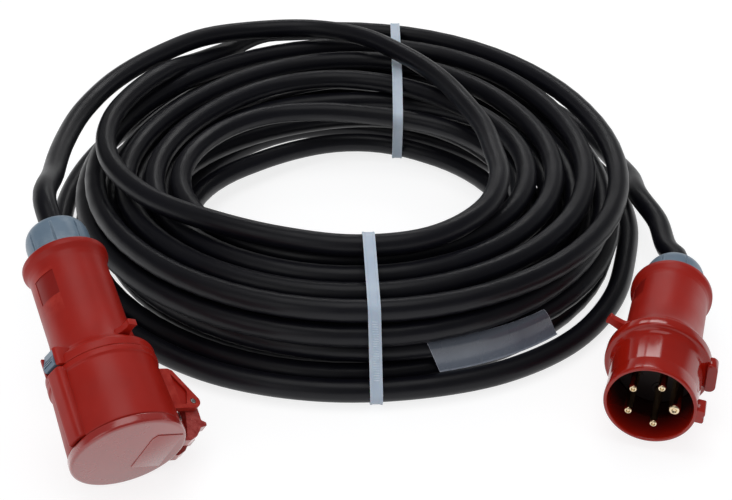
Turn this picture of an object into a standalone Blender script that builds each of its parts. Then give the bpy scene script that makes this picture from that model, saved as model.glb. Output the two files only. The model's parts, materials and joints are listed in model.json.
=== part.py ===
"""Five-pole industrial extension lead: a tied coil of rubber cable between a plug and a connector.

The floor is z = 0. The origin lies on the floor under the middle of the plug and the connector,
+X runs from the connector to the plug, and the coil lies behind them, on the +Y side.
Lengths below are in millimetres and angles in degrees; MM turns them into Blender's metres.
"""

import math

import bmesh
import bpy
import numpy as np
from mathutils import Matrix, Vector

MM = 0.001
GAP = 0.3  # room between touching pieces

# --- the lead on the floor, measured from the coil's centre -------------------------------------
MIDDLE = (19.31, -212.31)  # point under the middle of the two fittings, where the origin is
PLUG_RIM = (178.1, -252.8, 33.5)  # centre of the plug's open rim
PLUG_YAW, PLUG_TILT, PLUG_ROLL = -17.1, 1.3, -3.5
CONNECTOR_MOUTH = (-125.5, -286.6, 33.7)  # centre of the connector's mouth, under its lid
CONNECTOR_YAW, CONNECTOR_TILT, CONNECTOR_ROLL = 24.0, -20.7, -25.3

# --- cable ----------------------------------------------------------------------------------------
CABLE_D = 15.0
CABLE_STEP = 36.0  # distance between rings on the stretches that aren't coiled
CORE_R = 1.6  # insulated conductor
CORE_LAY_R = 4.2  # conductors round the cable's middle
LAYERS = 4
LAYER_PITCH = 15.65
LOOP_POINTS = 24
COIL_START, COIL_END = 25.0, 100.0  # directions of the coil's ends, anticlockwise from +X
WHOLE_TURNS = 16
COIL_TURNS = WHOLE_TURNS + (COIL_END - COIL_START) / 360.0
LEAD_IN = 0.375  # turns along the outside before the first layer starts inwards
SWEEP = (COIL_TURNS - LEAD_IN) / LAYERS  # turns in which a layer runs once across the coil
TIGHT_PITCH = 15.75  # cable to cable where the ties draw the loops in

# --- ties and label ----------------------------------------------------------------------------
TIE_W, TIE_T = 8.0, 1.5
FRONT_TIE_X, BACK_TIE_X = 13.0, 36.0
LABEL_FROM, LABEL_TO = 288.0, 309.0
LABEL_R, LABEL_T = 8.4, 0.6

# --- fittings: z = 0 at the mating rim, the body runs back along -z ------------------------------
ROUND = 24  # facets of a large turned piece
SMALL_ROUND = 8  # facets of a contact or a bore
PIN_CIRCLE_R = 14.3
PIN_STEP = 72.0
PIN_R, EARTH_PIN_R = 2.5, 3.5
PIN_TIP_Z = -0.8
SHROUD_R, SHROUD_BORE_R, SHROUD_DEPTH = 27.6, 25.4, 36.0
COLLAR_R = 32.5
PLUG_JOINT_Z, PLUG_REAR_Z = -46.9, -121.5
MOUTH_R, MOUTH_BORE_R = 33.2, 30.0
CONNECTOR_JOINT_Z, CONNECTOR_REAR_Z = -47.9, -133.0
GRIP_R, FLARE_R = 24.1, 26.6
NUT_R, NUT_LENGTH = 19.9, 17.5
HINGE_X, HINGE_Z = 43.8, -18.5
HINGE_PIN_R, HINGE_BORE_R = 1.5, 1.9
RIB_TURN = -10.0  # the keyway rib stands a little short of opposite the hinge
LID_R, LID_FACE_Z = 34.0, 6.2

COLOURS = {
    "red_plastic": ((0.30, 0.018, 0.014), 0.34, 0.0),
    "grey_plastic": ((0.16, 0.22, 0.29), 0.42, 0.0),
    "dark_insert": ((0.030, 0.020, 0.020), 0.50, 0.0),
    "brass": ((0.74, 0.60, 0.38), 0.28, 1.0),
    "steel": ((0.62, 0.62, 0.62), 0.32, 1.0),
    "seal_rubber": ((0.02, 0.02, 0.02), 0.70, 0.0),
    "cable_rubber": ((0.012, 0.012, 0.015), 0.45, 0.0),
    "tie_nylon": ((0.66, 0.72, 0.78), 0.38, 0.0),
    "label_grey": ((0.12, 0.13, 0.15), 0.30, 0.0),
    "core_brown": ((0.12, 0.045, 0.015), 0.45, 0.0),
    "core_black": ((0.012, 0.012, 0.012), 0.45, 0.0),
    "core_grey": ((0.28, 0.28, 0.28), 0.45, 0.0),
    "core_blue": ((0.02, 0.10, 0.42), 0.45, 0.0),
    "core_green": ((0.30, 0.48, 0.03), 0.45, 0.0),
}
POLES = ("earth", "neutral", "line_3", "line_2", "line_1")
CORE_SLOTS = ("core_green", "core_blue", "core_grey", "core_black", "core_brown")


# --- helpers --------------------------------------------------------------------------------------
def clear_scene():
    """Remove every object that the file opened with."""
    for thing in list(bpy.data.objects):
        bpy.data.objects.remove(thing, do_unlink=True)


def material(slot):
    """Return the slot's Principled material, made once."""
    found = bpy.data.materials.get(slot)
    if found:
        return found
    colour, roughness, metallic = COLOURS[slot]
    made = bpy.data.materials.new(slot)
    made.use_nodes = True
    shader = made.node_tree.nodes["Principled BSDF"]
    shader.inputs["Base Color"].default_value = (*colour, 1.0)
    shader.inputs["Roughness"].default_value = roughness
    shader.inputs["Metallic"].default_value = metallic
    return made


def empty(name, matrix, parent=None):
    """Return an empty that stands for a frame, such as a fitting's axis."""
    holder = bpy.data.objects.new(name, None)
    bpy.context.scene.collection.objects.link(holder)
    holder.parent = parent
    holder.matrix_local = matrix
    return holder


def place(name, bm, slot, parent, origin=(0.0, 0.0, 0.0)):
    """Turn a bmesh into a named object whose own origin is at the given point of its parent."""
    bmesh.ops.translate(bm, verts=bm.verts, vec=-Vector(origin) * MM)
    mesh = bpy.data.meshes.new(name)
    bm.to_mesh(mesh)
    bm.free()
    mesh.shade_smooth()
    mesh.set_sharp_from_angle(angle=math.radians(34))
    mesh.materials.append(material(slot))
    made = bpy.data.objects.new(name, mesh)
    bpy.context.scene.collection.objects.link(made)
    made.parent = parent
    made.location = Vector(origin) * MM
    return made


def shape(target, operation, bm):
    """Cut a bmesh from the target, or join one to it, with a Boolean on a hidden helper."""
    bmesh.ops.translate(bm, verts=bm.verts, vec=-target.location)
    mesh = bpy.data.meshes.new(target.name + "_helper")
    bm.to_mesh(mesh)
    bm.free()
    helper = bpy.data.objects.new(mesh.name, mesh)
    bpy.context.scene.collection.objects.link(helper)
    helper.parent = target
    helper.hide_render = True
    helper.display_type = "WIRE"
    modifier = target.modifiers.new(operation.lower(), "BOOLEAN")
    modifier.operation = operation
    modifier.solver = "EXACT"
    modifier.object = helper


def turned(outline, segments=ROUND):
    """Spin an outline of (radius, height) points about Z; it may end on the axis."""
    bm = bmesh.new()
    verts = [bm.verts.new((r * MM, 0.0, z * MM)) for r, z in outline]
    pairs = zip(range(len(verts)), [*range(1, len(verts)), 0])
    edges = [bm.edges.new((verts[a], verts[b])) for a, b in pairs if outline[a][0] or outline[b][0]]
    bmesh.ops.spin(bm, geom=verts + edges, angle=math.tau, steps=segments, axis=(0, 0, 1),
                   cent=(0, 0, 0), use_merge=True)
    bmesh.ops.remove_doubles(bm, verts=bm.verts, dist=1e-7)
    bmesh.ops.recalc_face_normals(bm, faces=bm.faces)
    return bm


def prism(outline, low, high):
    """Extrude a flat (x, y) outline from one height to another."""
    bm = bmesh.new()
    face = bm.faces.new([bm.verts.new((x * MM, y * MM, low * MM)) for x, y in outline])
    grown = bmesh.ops.extrude_face_region(bm, geom=[face])
    tops = [v for v in grown["geom"] if isinstance(v, bmesh.types.BMVert)]
    bmesh.ops.translate(bm, verts=tops, vec=(0, 0, (high - low) * MM))
    bmesh.ops.recalc_face_normals(bm, faces=bm.faces)
    return bm


def side_prism(outline, low, high):
    """Extrude an (x, z) outline sideways, from y = low to y = high."""
    bm = prism(outline, -high, -low)
    bmesh.ops.transform(bm, matrix=Matrix.Rotation(math.radians(90), 4, "X"), verts=bm.verts)
    return bm


def block(low, high):
    """Return a box between two corners."""
    corners = [(low[0], low[1]), (high[0], low[1]), (high[0], high[1]), (low[0], high[1])]
    return prism(corners, low[2], high[2])


def rod(radius, low, high, segments=12):
    """Return a solid round bar along Z."""
    return turned([(0, low), (radius, low), (radius, high), (0, high)], segments)


def spun(bm, degrees):
    """Turn a bmesh about Z."""
    bmesh.ops.transform(bm, matrix=Matrix.Rotation(math.radians(degrees), 4, "Z"), verts=bm.verts)
    return bm


def shifted(bm, x, y=0.0, z=0.0):
    """Move a bmesh."""
    bmesh.ops.translate(bm, verts=bm.verts, vec=(x * MM, y * MM, z * MM))
    return bm


def gathered(pieces):
    """Put several separate bmeshes into one, for a single Boolean."""
    whole = bmesh.new()
    for bm in pieces:
        mesh = bpy.data.meshes.new("gathered")
        bm.to_mesh(mesh)
        bm.free()
        whole.from_mesh(mesh)
        bpy.data.meshes.remove(mesh)
    return whole


def arc(centre, radius, start, end, steps):
    """Return points along an arc of a flat outline, both ends included."""
    angles = [math.radians(start + (end - start) * i / steps) for i in range(steps + 1)]
    return [(centre[0] + radius * math.cos(a), centre[1] + radius * math.sin(a)) for a in angles]


def tube(name, points, radius, slot, parent, resolution):
    """Make a round tube with closed ends along points given in millimetres."""
    curve = bpy.data.curves.new(name, "CURVE")
    curve.dimensions = "3D"
    curve.bevel_depth = radius * MM
    curve.bevel_resolution = resolution
    curve.use_fill_caps = True
    spline = curve.splines.new("POLY")
    spline.points.add(len(points) - 1)
    for knot, point in zip(spline.points, points):
        knot.co = (point[0] * MM, point[1] * MM, point[2] * MM, 1.0)
    spline.use_smooth = True
    curve.materials.append(material(slot))
    made = bpy.data.objects.new(name, curve)
    bpy.context.scene.collection.objects.link(made)
    made.parent = parent
    return made


def lying_frame(origin, yaw, tilt, roll):
    """Return a fitting's frame: +Z out of its mouth, turned to the front and tilted nose up."""
    y, t = math.radians(yaw), math.radians(tilt)
    forward = Vector((math.sin(y) * math.cos(t), -math.cos(y) * math.cos(t), math.sin(t)))
    up = (Vector((0, 0, 1)) - forward * forward.z).normalized()
    side = up.cross(forward)
    frame = Matrix((side, up, forward)).transposed().to_4x4()
    frame = frame @ Matrix.Rotation(math.radians(roll), 4, "Z")
    frame.translation = Vector(origin) * MM
    return frame


# --- the cable's route -----------------------------------------------------------------------------
def polar(degrees, radius, height):
    """Return the point at a direction and distance from the coil's centre."""
    a = math.radians(degrees)
    return np.array([radius * math.cos(a), radius * math.sin(a), height])


def inner_radius(degrees):
    """Innermost loop of the coil; its hole is pulled out of round and towards the front."""
    a = math.radians(degrees)
    return (110.6 - 1.9 * math.cos(a) - 20.0 * math.sin(a)
            + 5.3 * math.cos(2 * a) + 2.4 * math.sin(2 * a))


def outer_radius(degrees):
    """Outermost loop of the coil; it bulges at the back left and the front right."""
    a = math.radians(degrees)
    return (202.4 + 3.8 * math.sin(a) - 2.1 * math.cos(2 * a) - 3.2 * math.sin(2 * a)
            - 1.4 * math.cos(3 * a) - 1.3 * math.sin(3 * a))


def floor_height(degrees):
    """Height of a cable's middle on the floor: it is raised where a tie's strap passes under it."""
    near_tie = 1.0 - math.cos(math.radians(degrees)) ** 4
    return CABLE_D / 2 + GAP + (TIE_T + 0.03) * near_tie


def coil_point(turns):
    """Return the coil's middle line after a number of turns.

    Each layer runs once across the coil, inwards and outwards in turn, and the cable climbs a
    layer in the half turn round each reversal.
    """
    degrees = COIL_START + 360.0 * turns
    turns -= LEAD_IN
    layer = min(max(int(turns / SWEEP), 0), LAYERS - 1)
    across = turns / SWEEP - layer
    across *= 0.4 if across < 0.0 else 1.0
    across = 1.0 - across if layer % 2 == 0 else across
    inner, outer = inner_radius(degrees), outer_radius(degrees)
    slack = (outer - inner) / SWEEP - TIGHT_PITCH
    wander = 0.36 * slack * math.sin(2.0 * math.radians(degrees) + 1.3 * turns)
    height = floor_height(degrees)
    for climb in range(1, LAYERS):
        part = min(max(2.0 * (turns - climb * SWEEP) + 0.5, 0.0), 1.0)
        height += LAYER_PITCH * part
    return polar(degrees, inner + across * (outer - inner) + wander, height)


def coil_points(per_turn):
    """Return the coil's points with its two straight ends, one cable diameter long."""
    count = round(COIL_TURNS * per_turn)
    points = [coil_point(COIL_TURNS * i / count) for i in range(count + 1)]
    first = coil_point(0.0) - coil_point(0.01)
    last = coil_point(COIL_TURNS) - coil_point(COIL_TURNS - 0.01)
    first *= CABLE_D / np.linalg.norm(first)
    last *= CABLE_D / np.linalg.norm(last)
    return [points[0] + first, *points, points[-1] + last]


def smooth_route(points, start_way, end_way, step):
    """Return evenly read points of the smooth curve through a route, with given end directions."""
    knots = np.array(points)
    spans = np.linalg.norm(np.diff(knots, axis=0), axis=1)
    slopes = np.diff(knots, axis=0) / spans[:, None]
    before, after = spans[:-1, None], spans[1:, None]
    inner = (slopes[:-1] * after + slopes[1:] * before) / (before + after)
    ways = np.vstack([unit(start_way), inner, unit(end_way)])
    fine = []
    for i, span in enumerate(spans):
        for t in np.linspace(0.0, 1.0, 40, endpoint=False):
            fine.append((2 * t**3 - 3 * t**2 + 1) * knots[i] + (t**3 - 2 * t**2 + t) * span * ways[i]
                        + (3 * t**2 - 2 * t**3) * knots[i + 1] + (t**3 - t**2) * span * ways[i + 1])
    fine = np.array([*fine, knots[-1]])
    run = np.concatenate([[0.0], np.cumsum(np.linalg.norm(np.diff(fine, axis=0), axis=1))])
    reads = np.linspace(0.0, run[-1], max(2, round(run[-1] / step) + 1))
    return np.column_stack([np.interp(reads, run, fine[:, k]) for k in range(3)])


def unit(way):
    """Return a direction at length one."""
    return np.array(way) / np.linalg.norm(way)


def in_floor_frame(frame, height):
    """Return the point on a fitting's axis at a height along it, in millimetres."""
    return np.array(frame @ Vector((0.0, 0.0, height * MM))) / MM


def plug_tail_points(frame, step):
    """Route from the plug: down behind it, once round the coil on the floor, and into the coil."""
    jacket_end = in_floor_frame(frame, PLUG_REAR_Z + 8.0)
    leaves = in_floor_frame(frame, PLUG_REAR_Z - NUT_LENGTH - CABLE_D)
    start_way = leaves - jacket_end
    coil = coil_points(LOOP_POINTS)
    end_way = unit(coil[1] - coil[0])
    meets = coil[0] - end_way * GAP
    straight = meets - end_way * CABLE_D
    route = [
        leaves,
        polar(-19.5, 236.3, 27.0),
        polar(-10.5, 226.3, 26.0),
        polar(-1.0, 215.2, 25.0),
        polar(8.5, 218.9, 17.7),
        polar(19.0, 223.1, 10.0),
        polar(32.0, 226.8, floor_height(32)),
        polar(52.0, 229.1, floor_height(52)),
        polar(74.0, 231.4, floor_height(74)),
        polar(96.0, 230.7, floor_height(96)),
        polar(118.0, 232.0, floor_height(118)),
        polar(140.0, 231.1, floor_height(140)),
        polar(162.0, 224.0, floor_height(162)),
        polar(184.0, 218.0, floor_height(184)),
        polar(206.0, 213.2, floor_height(206)),
        polar(226.0, 210.9, floor_height(226)),
        polar(246.0, 211.3, floor_height(246)),
        polar(264.0, 210.8, floor_height(264)),
        polar(282.0, 212.1, floor_height(282)),
        polar(298.0, 216.2, floor_height(298)),
        polar(313.0, 217.4, floor_height(313)),
        polar(328.0, 213.2, floor_height(328)),
        polar(342.0, 207.6, floor_height(342)),
        polar(355.0, 207.4, floor_height(355)),
        polar(367.0, 206.4, floor_height(367)),
        straight,
    ]
    return [jacket_end, *smooth_route(route, start_way, end_way, step), meets]


def connector_tail_points(frame, step):
    """Route from the coil's top: over its loops, round its hole, over the back and to the connector."""
    jacket_end = in_floor_frame(frame, CONNECTOR_REAR_Z + 8.0)
    leaves = in_floor_frame(frame, CONNECTOR_REAR_Z - NUT_LENGTH - CABLE_D)
    end_way = jacket_end - leaves
    coil = coil_points(LOOP_POINTS)
    start_way = unit(coil[-1] - coil[-2])
    meets = coil[-1] + start_way * GAP
    straight = meets + start_way * CABLE_D
    route = [
        straight,
        polar(123.0, 205.7, 57.0),
        polar(132.0, 196.7, 61.2),
        polar(141.5, 187.8, 69.0),
        polar(153.0, 183.6, 72.3),
        polar(171.0, 182.2, 72.3),
        polar(190.0, 175.5, 72.9),
        polar(211.0, 161.0, 73.1),
        polar(233.0, 145.5, 73.6),
        polar(252.0, 140.5, 73.1),
        polar(272.0, 142.0, 72.4),
        polar(292.0, 142.0, 72.0),
        polar(313.0, 132.4, 71.8),
        polar(333.0, 117.2, 71.1),
        polar(352.0, 104.2, 69.4),
        polar(372.0, 100.8, 69.5),
        polar(392.0, 102.5, 71.5),
        polar(412.0, 115.2, 73.1),
        polar(432.0, 136.6, 75.5),
        polar(448.0, 164.3, 76.6),
        polar(462.0, 187.3, 74.6),
        polar(475.0, 198.6, 74.4),
        polar(488.0, 203.0, 77.0),
        polar(501.0, 203.1, 76.6),
        polar(515.0, 203.6, 76.6),
        polar(530.0, 203.9, 77.3),
        polar(546.0, 206.4, 80.6),
        polar(560.0, 214.6, 86.7),
        leaves,
    ]
    return [meets, *smooth_route(route, start_way, end_way, step), jacket_end]


def least_gap(points, other=None):
    """Return the least room between two stretches of cable, or between one's own turns."""
    a = np.array(points)
    b = a if other is None else np.array(other)
    lows, ways = b[:-1], np.diff(b, axis=0)
    lengths = np.einsum("ij,ij->i", ways, ways)
    least = math.inf
    for i, point in enumerate(a):
        t = np.clip(np.einsum("ij,ij->i", point - lows, ways) / lengths, 0.0, 1.0)
        away = np.linalg.norm(point - (lows + ways * t[:, None]), axis=1)
        if other is None:
            away[max(0, i - LOOP_POINTS // 2):i + LOOP_POINTS // 2] = math.inf
        least = min(least, away.min())
    return least - CABLE_D


def make_cable(floor, plug_frame, connector_frame):
    """Make the coil and its two tails; print the coil's least gap and the length; return points."""
    coil = coil_points(LOOP_POINTS)
    plug_tail = plug_tail_points(plug_frame, CABLE_STEP)
    connector_tail = connector_tail_points(connector_frame, CABLE_STEP)
    tube("cord_coil", coil, CABLE_D / 2, "cable_rubber", floor, 1)
    tube("cord_tail_plug", plug_tail, CABLE_D / 2, "cable_rubber", floor, 2)
    tube("cord_tail_connector", connector_tail, CABLE_D / 2, "cable_rubber", floor, 2)
    steps = np.diff(np.array([*plug_tail, *coil, *connector_tail]), axis=0)
    print(f"least gap of the coil to itself: {least_gap(coil):.2f} mm")
    print(f"cable from jacket end to jacket end: {np.linalg.norm(steps, axis=1).sum():.0f} mm")
    return coil, plug_tail, connector_tail


# --- ties and label ----------------------------------------------------------------------------
def strap_outline(centres, radius):
    """Return the outline of a strap pulled round circles at the corners of a convex shape."""
    outline = []
    count = len(centres)
    for i, centre in enumerate(centres):
        before = np.subtract(centre, centres[i - 1])
        after = np.subtract(centres[(i + 1) % count], centre)
        start = math.atan2(-before[0], before[1])
        end = math.atan2(-after[0], after[1])
        turn = (end - start) % math.tau
        steps = max(2, round(math.degrees(turn) / 26))
        outline += arc(centre, radius, math.degrees(start), math.degrees(start + turn), steps)
    return outline


def strands_at(points, x, side, ceiling):
    """Return where a cable's points pass a tie's strap at x, in front (-1) or at the back (+1)."""
    found = []
    for edge in (x - TIE_W / 2 - 1.5, x + TIE_W / 2 + 1.5):
        for a, b in zip(points, points[1:]):
            if (a[0] - edge) * (b[0] - edge) <= 0.0 and a[0] != b[0]:
                spot = a + (edge - a[0]) / (b[0] - a[0]) * (b - a)
                if spot[1] * side > 0 and spot[2] < ceiling:
                    found.append((float(spot[1]), float(spot[2])))
    return found


def tight_loop(spots):
    """Return the corners, anticlockwise, of the band that is pulled tight round some points."""
    loop = []
    for way in (1, -1):
        chain = []
        for spot in sorted(spots)[::way]:
            while len(chain) > 1 and np.cross(np.subtract(chain[-1], chain[-2]),
                                              np.subtract(spot, chain[-1])) <= 0:
                chain.pop()
            chain.append(spot)
        loop += chain[:-1]
    return loop


def make_tie(name, x, corners, head_side, floor):
    """Make a cable tie round the loops in the plane at x; corners are (y, z) and anticlockwise."""
    reach = CABLE_D / 2 + GAP
    inner = strap_outline(corners, reach)
    outer = strap_outline(corners, reach + TIE_T)
    bm = bmesh.new()
    rings = []
    for (yi, zi), (yo, zo) in zip(inner, outer):
        section = [(x - TIE_W / 2, yi, zi), (x + TIE_W / 2, yi, zi), (x + TIE_W / 2, yo, zo),
                   (x - TIE_W / 2, yo, zo)]
        rings.append([bm.verts.new(Vector(p) * MM) for p in section])
    for ring, following in zip(rings, rings[1:] + rings[:1]):
        for k in range(4):
            bm.faces.new((ring[k], ring[k - 1], following[k - 1], following[k]))
    bmesh.ops.recalc_face_normals(bm, faces=bm.faces)
    tie = place(name, bm, "tie_nylon", floor)
    start, end = np.array(corners[head_side - 1]), np.array(corners[head_side])
    along = unit(end - start)
    outward = np.array([along[1], -along[0]])
    middle = start * 0.5 + end * 0.5 + outward * (reach + TIE_T / 2 + 1.6)
    turn = math.degrees(math.atan2(outward[1], outward[0]))
    head = block((-TIE_W / 2 - 1.0, -1.8, -4.0), (TIE_W / 2 + 1.0, 3.4, 4.0))
    bmesh.ops.transform(head, matrix=Matrix.Rotation(math.radians(turn - 90), 4, "X"), verts=head.verts)
    shape(tie, "UNION", shifted(head, x, middle[0], middle[1]))
    return tie


def make_ties(cables, floor):
    """Make the two ties that hold the coil; the back one passes under the connector's tail."""
    for name, x, side, ceiling in (("front_tie", FRONT_TIE_X, -1, 90.0),
                                   ("back_tie", BACK_TIE_X, 1, 62.0)):
        spots = [spot for cable in cables for spot in strands_at(cable, x, side, ceiling)]
        corners = tight_loop(spots)
        inner_wall = [abs(corners[i][1] - corners[i - 1][1]) * (abs(corners[i][0]) < 150.0)
                      for i in range(len(corners))]
        make_tie(name, x, corners, inner_wall.index(max(inner_wall)), floor)


def make_label(floor):
    """Make the bare label sleeve that wraps the outer side of a bottom loop at the front."""
    steps = 9
    half = LABEL_T / 2
    outer = arc((0, 0), LABEL_R + half, 58, -42, 6)
    inner = arc((0, 0), LABEL_R - half, -42, 58, 6)
    lip = [(10.4, -7.0), (10.0, -7.6)]
    section = [*outer, *lip, *inner]
    bm = bmesh.new()
    rings = []
    for i in range(steps + 1):
        degrees = LABEL_FROM + (LABEL_TO - LABEL_FROM) * i / steps
        turns = (degrees - COIL_START) / 360.0
        centre = coil_point(turns)
        away = polar(degrees, 1.0, 0.0)
        rings.append([bm.verts.new(Vector(centre + away * u + np.array([0, 0, w])) * MM)
                      for u, w in section])
    for ring, following in zip(rings, rings[1:]):
        for k in range(len(section)):
            bm.faces.new((ring[k], ring[k - 1], following[k - 1], following[k]))
    bm.faces.new(rings[0])
    bm.faces.new(rings[-1])
    bmesh.ops.recalc_face_normals(bm, faces=bm.faces)
    return place("label_sleeve", bm, "label_grey", floor)


# --- pieces that both fittings have ------------------------------------------------------------
def rear_outline(joint, rear, shoulder, bore):
    """Outline of a rear housing: shoulder, waisted grip, flared end, and the gland's spigot."""
    return [
        *shoulder, (GRIP_R, joint - 30.0), (GRIP_R, rear + 24.0), (24.8, rear + 11.0),
        (25.9, rear + 5.0), (FLARE_R, rear + 2.6), (FLARE_R, rear + 0.9), (25.9, rear),
        (24.3, rear), (23.5, rear + 1.2), (23.2, rear + 14.0), (16.4, rear + 15.0),
        (16.4, rear - 9.0), (14.0, rear - 9.0), (14.0, rear + 18.0),
        (21.9, rear + 19.5), (22.2, joint - 19.0), (24.1, joint - 11.0), (bore, joint - 6.0),
        (bore, joint)]


def make_gland(prefix, rear, parent, slot_turn):
    """Make the screwed cable gland behind a fitting: nut, clamp ring and rubber seal."""
    back = rear - NUT_LENGTH
    nut = place(prefix + "_gland_nut", turned([
        (16.9, rear + 3.5), (NUT_R - 0.8, rear + 3.5), (NUT_R, rear + 2.4), (NUT_R, rear - 9.5),
        (NUT_R - 1.0, rear - 14.0), (16.4, back + 0.6), (14.4, back), (8.0, back),
        (8.0, rear - 14.0), (16.9, rear - 14.0)]), "grey_plastic", parent)
    cross = [(24, -7), (7, -7), (7, -24), (-7, -24), (-7, -7), (-24, -7),
             (-24, 7), (-7, 7), (-7, 24), (7, 24), (7, 7), (24, 7)]
    shape(nut, "DIFFERENCE", spun(prism(cross, rear - 1.0, rear + 6.0), slot_turn))
    grooves = [spun(block((NUT_R - 1.1, -0.9, back + 2.2), (NUT_R + 2, 0.9, rear + 6)),
                    slot_turn + 60 * i + 30) for i in range(6)]
    shape(nut, "DIFFERENCE", gathered(grooves))
    place(prefix + "_clamp_ring", turned([(8.1, rear - 9.3), (16.3, rear - 9.3), (16.3, rear - 13.7),
                                          (8.1, rear - 13.7)], 16), "grey_plastic", parent)
    place(prefix + "_gland_seal", turned([
        (7.9, rear - 8.9), (13.5, rear - 8.9), (13.6, rear + 4.0), (11.6, rear + 6.0),
        (7.9, rear + 6.0)], 16), "seal_rubber", parent)


def make_cores(prefix, rear, entry, floor_frame, floor):
    """Make the five insulated conductors from the cable's end into the terminals."""
    start = rear + 8.0 + GAP
    for pole, slot, degrees in zip(POLES, CORE_SLOTS, pole_directions()):
        points = []
        for part in (0.0, 0.14, 0.35, 0.55, 0.75, 1.0):
            ease = min(max((part - 0.14) / 0.61, 0.0), 1.0)
            ease = ease * ease * (3 - 2 * ease)
            radius = CORE_LAY_R + (PIN_CIRCLE_R - CORE_LAY_R) * ease
            a = math.radians(degrees)
            local = Vector((radius * math.cos(a), radius * math.sin(a), start + (entry - start) * part))
            points.append(np.array(floor_frame @ (local * MM)) / MM)
        tube(f"{prefix}_core_{pole}", points, CORE_R, slot, floor, 1)


def pole_directions():
    """Directions of earth, neutral and the three lines round the axis, seen from the front."""
    return [PIN_STEP * i for i in range(5)]


def make_terminal_screws(prefix, height, parent):
    """Make the screw that clamps each conductor, set square to its terminal."""
    for pole, degrees in zip(POLES, pole_directions()):
        seat = PIN_CIRCLE_R + terminal_radius(pole) + GAP
        screw = turned([(0, PIN_CIRCLE_R + 2.0), (1.4, PIN_CIRCLE_R + 2.0), (1.4, seat), (2.3, seat),
                        (2.3, seat + 1.1), (1.8, seat + 1.5), (0, seat + 1.5)], 8)
        tipped = Matrix.Rotation(math.radians(90), 4, "Y")
        bmesh.ops.transform(screw, matrix=tipped, verts=screw.verts)
        place(f"{prefix}_screw_{pole}", spun(shifted(screw, 0, 0, height), degrees), "steel", parent)


def terminal_radius(pole):
    """Outside of a terminal barrel; the earth's is stouter."""
    return 4.3 if pole == "earth" else 3.7


def make_contact(name, outline, pole, degrees, screw_z, parent):
    """Make a pin or a socket contact, with its terminal bore and cross hole for the screw."""
    contact = place(name, spun(shifted(turned(outline, SMALL_ROUND), PIN_CIRCLE_R), degrees), "brass", parent)
    hole = rod(1.7, 0.0, 8.0, 8)
    bmesh.ops.transform(hole, matrix=Matrix.Rotation(math.radians(90), 4, "Y"), verts=hole.verts)
    shape(contact, "DIFFERENCE", spun(shifted(hole, PIN_CIRCLE_R, 0, screw_z), degrees))
    return contact


def radial_tab(inner, outer, low, high):
    """Tapered tab that stands out on the side away from the key, wider at its tip."""
    bm = prism([(-inner, -5.2), (-inner - 4.0, -3.0), (-outer + 2.0, -2.4), (-outer, -3.3),
                (-outer, 3.3), (-outer + 2.0, 2.4), (-inner - 4.0, 3.0), (-inner, 5.2)], low, high)
    return bm


# --- plug -------------------------------------------------------------------------------------------
def make_plug(frame, floor):
    """Make the plug: shroud and collar, pins in their insert, grip and gland."""
    axis = empty("plug_axis", frame, floor)
    joint, rear = PLUG_JOINT_Z, PLUG_REAR_Z
    front = place("plug_front_housing", turned([
        (26.9, 0), (SHROUD_R, -0.8), (28.1, -33.0), (28.7, -36.6), (30.0, -37.8),
        (31.7, -38.4), (COLLAR_R, -39.4), (COLLAR_R, -45.6), (31.9, joint + GAP),
        (24.0, joint + GAP), (24.0, -44.0), (SHROUD_BORE_R, -44.0), (SHROUD_BORE_R, -0.6),
        (25.9, 0)]), "red_plastic", axis)
    nose = [(26.6, -4.4), (31.0, -4.4), (31.8, -3.6), (31.8, -0.9), (30.8, -0.9), (30.8, 0.9),
            (31.8, 0.9), (31.8, 3.6), (31.0, 4.4), (26.6, 4.4)]
    shape(front, "UNION", prism(nose, -12.0, -0.5))
    ear = [(29.5, -9.0), (34.4, -9.0), (36.6, -6.5), (36.6, 6.5), (34.4, 9.0), (29.5, 9.0)]
    shape(front, "UNION", spun(prism(ear, -45.0, -36.0), 5.0))
    shoulder = [(29.8, joint), (29.4, joint - 2.0), (27.4, joint - 4.2), (26.6, joint - 6.6),
                (26.6, joint - 9.4), (25.9, joint - 10.0), (24.8, joint - 15.5)]
    outline = rear_outline(joint, rear, shoulder, 24.1)
    back = place("plug_rear_housing", turned(outline), "red_plastic", axis)
    shape(back, "UNION", radial_tab(25.4, 37.0, joint - 9.0, joint - 4.8))
    insert = place("plug_insert", turned([
        (0, -SHROUD_DEPTH - GAP), (25.0, -SHROUD_DEPTH - GAP), (25.0, -43.6), (23.6, -43.6),
        (23.6, -56.0), (9.0, -56.0), (9.0, -70.0), (0, -70.0)]), "dark_insert", axis)
    bores = []
    for pole, degrees in zip(POLES, pole_directions()):
        radius = EARTH_PIN_R if pole == "earth" else PIN_R
        bores.append(spun(shifted(rod(radius + 0.6, -60, -30, SMALL_ROUND), PIN_CIRCLE_R), degrees))
        barrel = terminal_radius(pole)
        outline = [(0, PIN_TIP_Z), (radius - 1.1, PIN_TIP_Z), (radius - 0.3, PIN_TIP_Z - 0.5),
                   (radius, PIN_TIP_Z - 1.8), (radius, -56.0 - GAP), (barrel, -56.0 - GAP), (barrel, -72.0), (1.9, -72.0),
                   (1.9, -63.0), (0, -63.0)]
        make_contact(f"plug_pin_{pole}", outline, pole, degrees, -67.0, axis)
    shape(insert, "DIFFERENCE", gathered(bores))
    make_terminal_screws("plug", -67.0, axis)
    make_gland("plug", rear, axis, 0.0)
    make_cores("plug", rear, -64.5, frame, floor)


# --- connector ---------------------------------------------------------------------------------------
def hinge_outline(root_x, reach):
    """Outline of a hinge ear: a gusset that rises from the housing to a round eye."""
    top = HINGE_Z + reach
    return [(root_x, -42.0), (34.4, -42.0), (37.0, -40.5),
            *arc((HINGE_X, HINGE_Z), reach, -22, 90, 5), (36.0, top), (root_x, top)]


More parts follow.
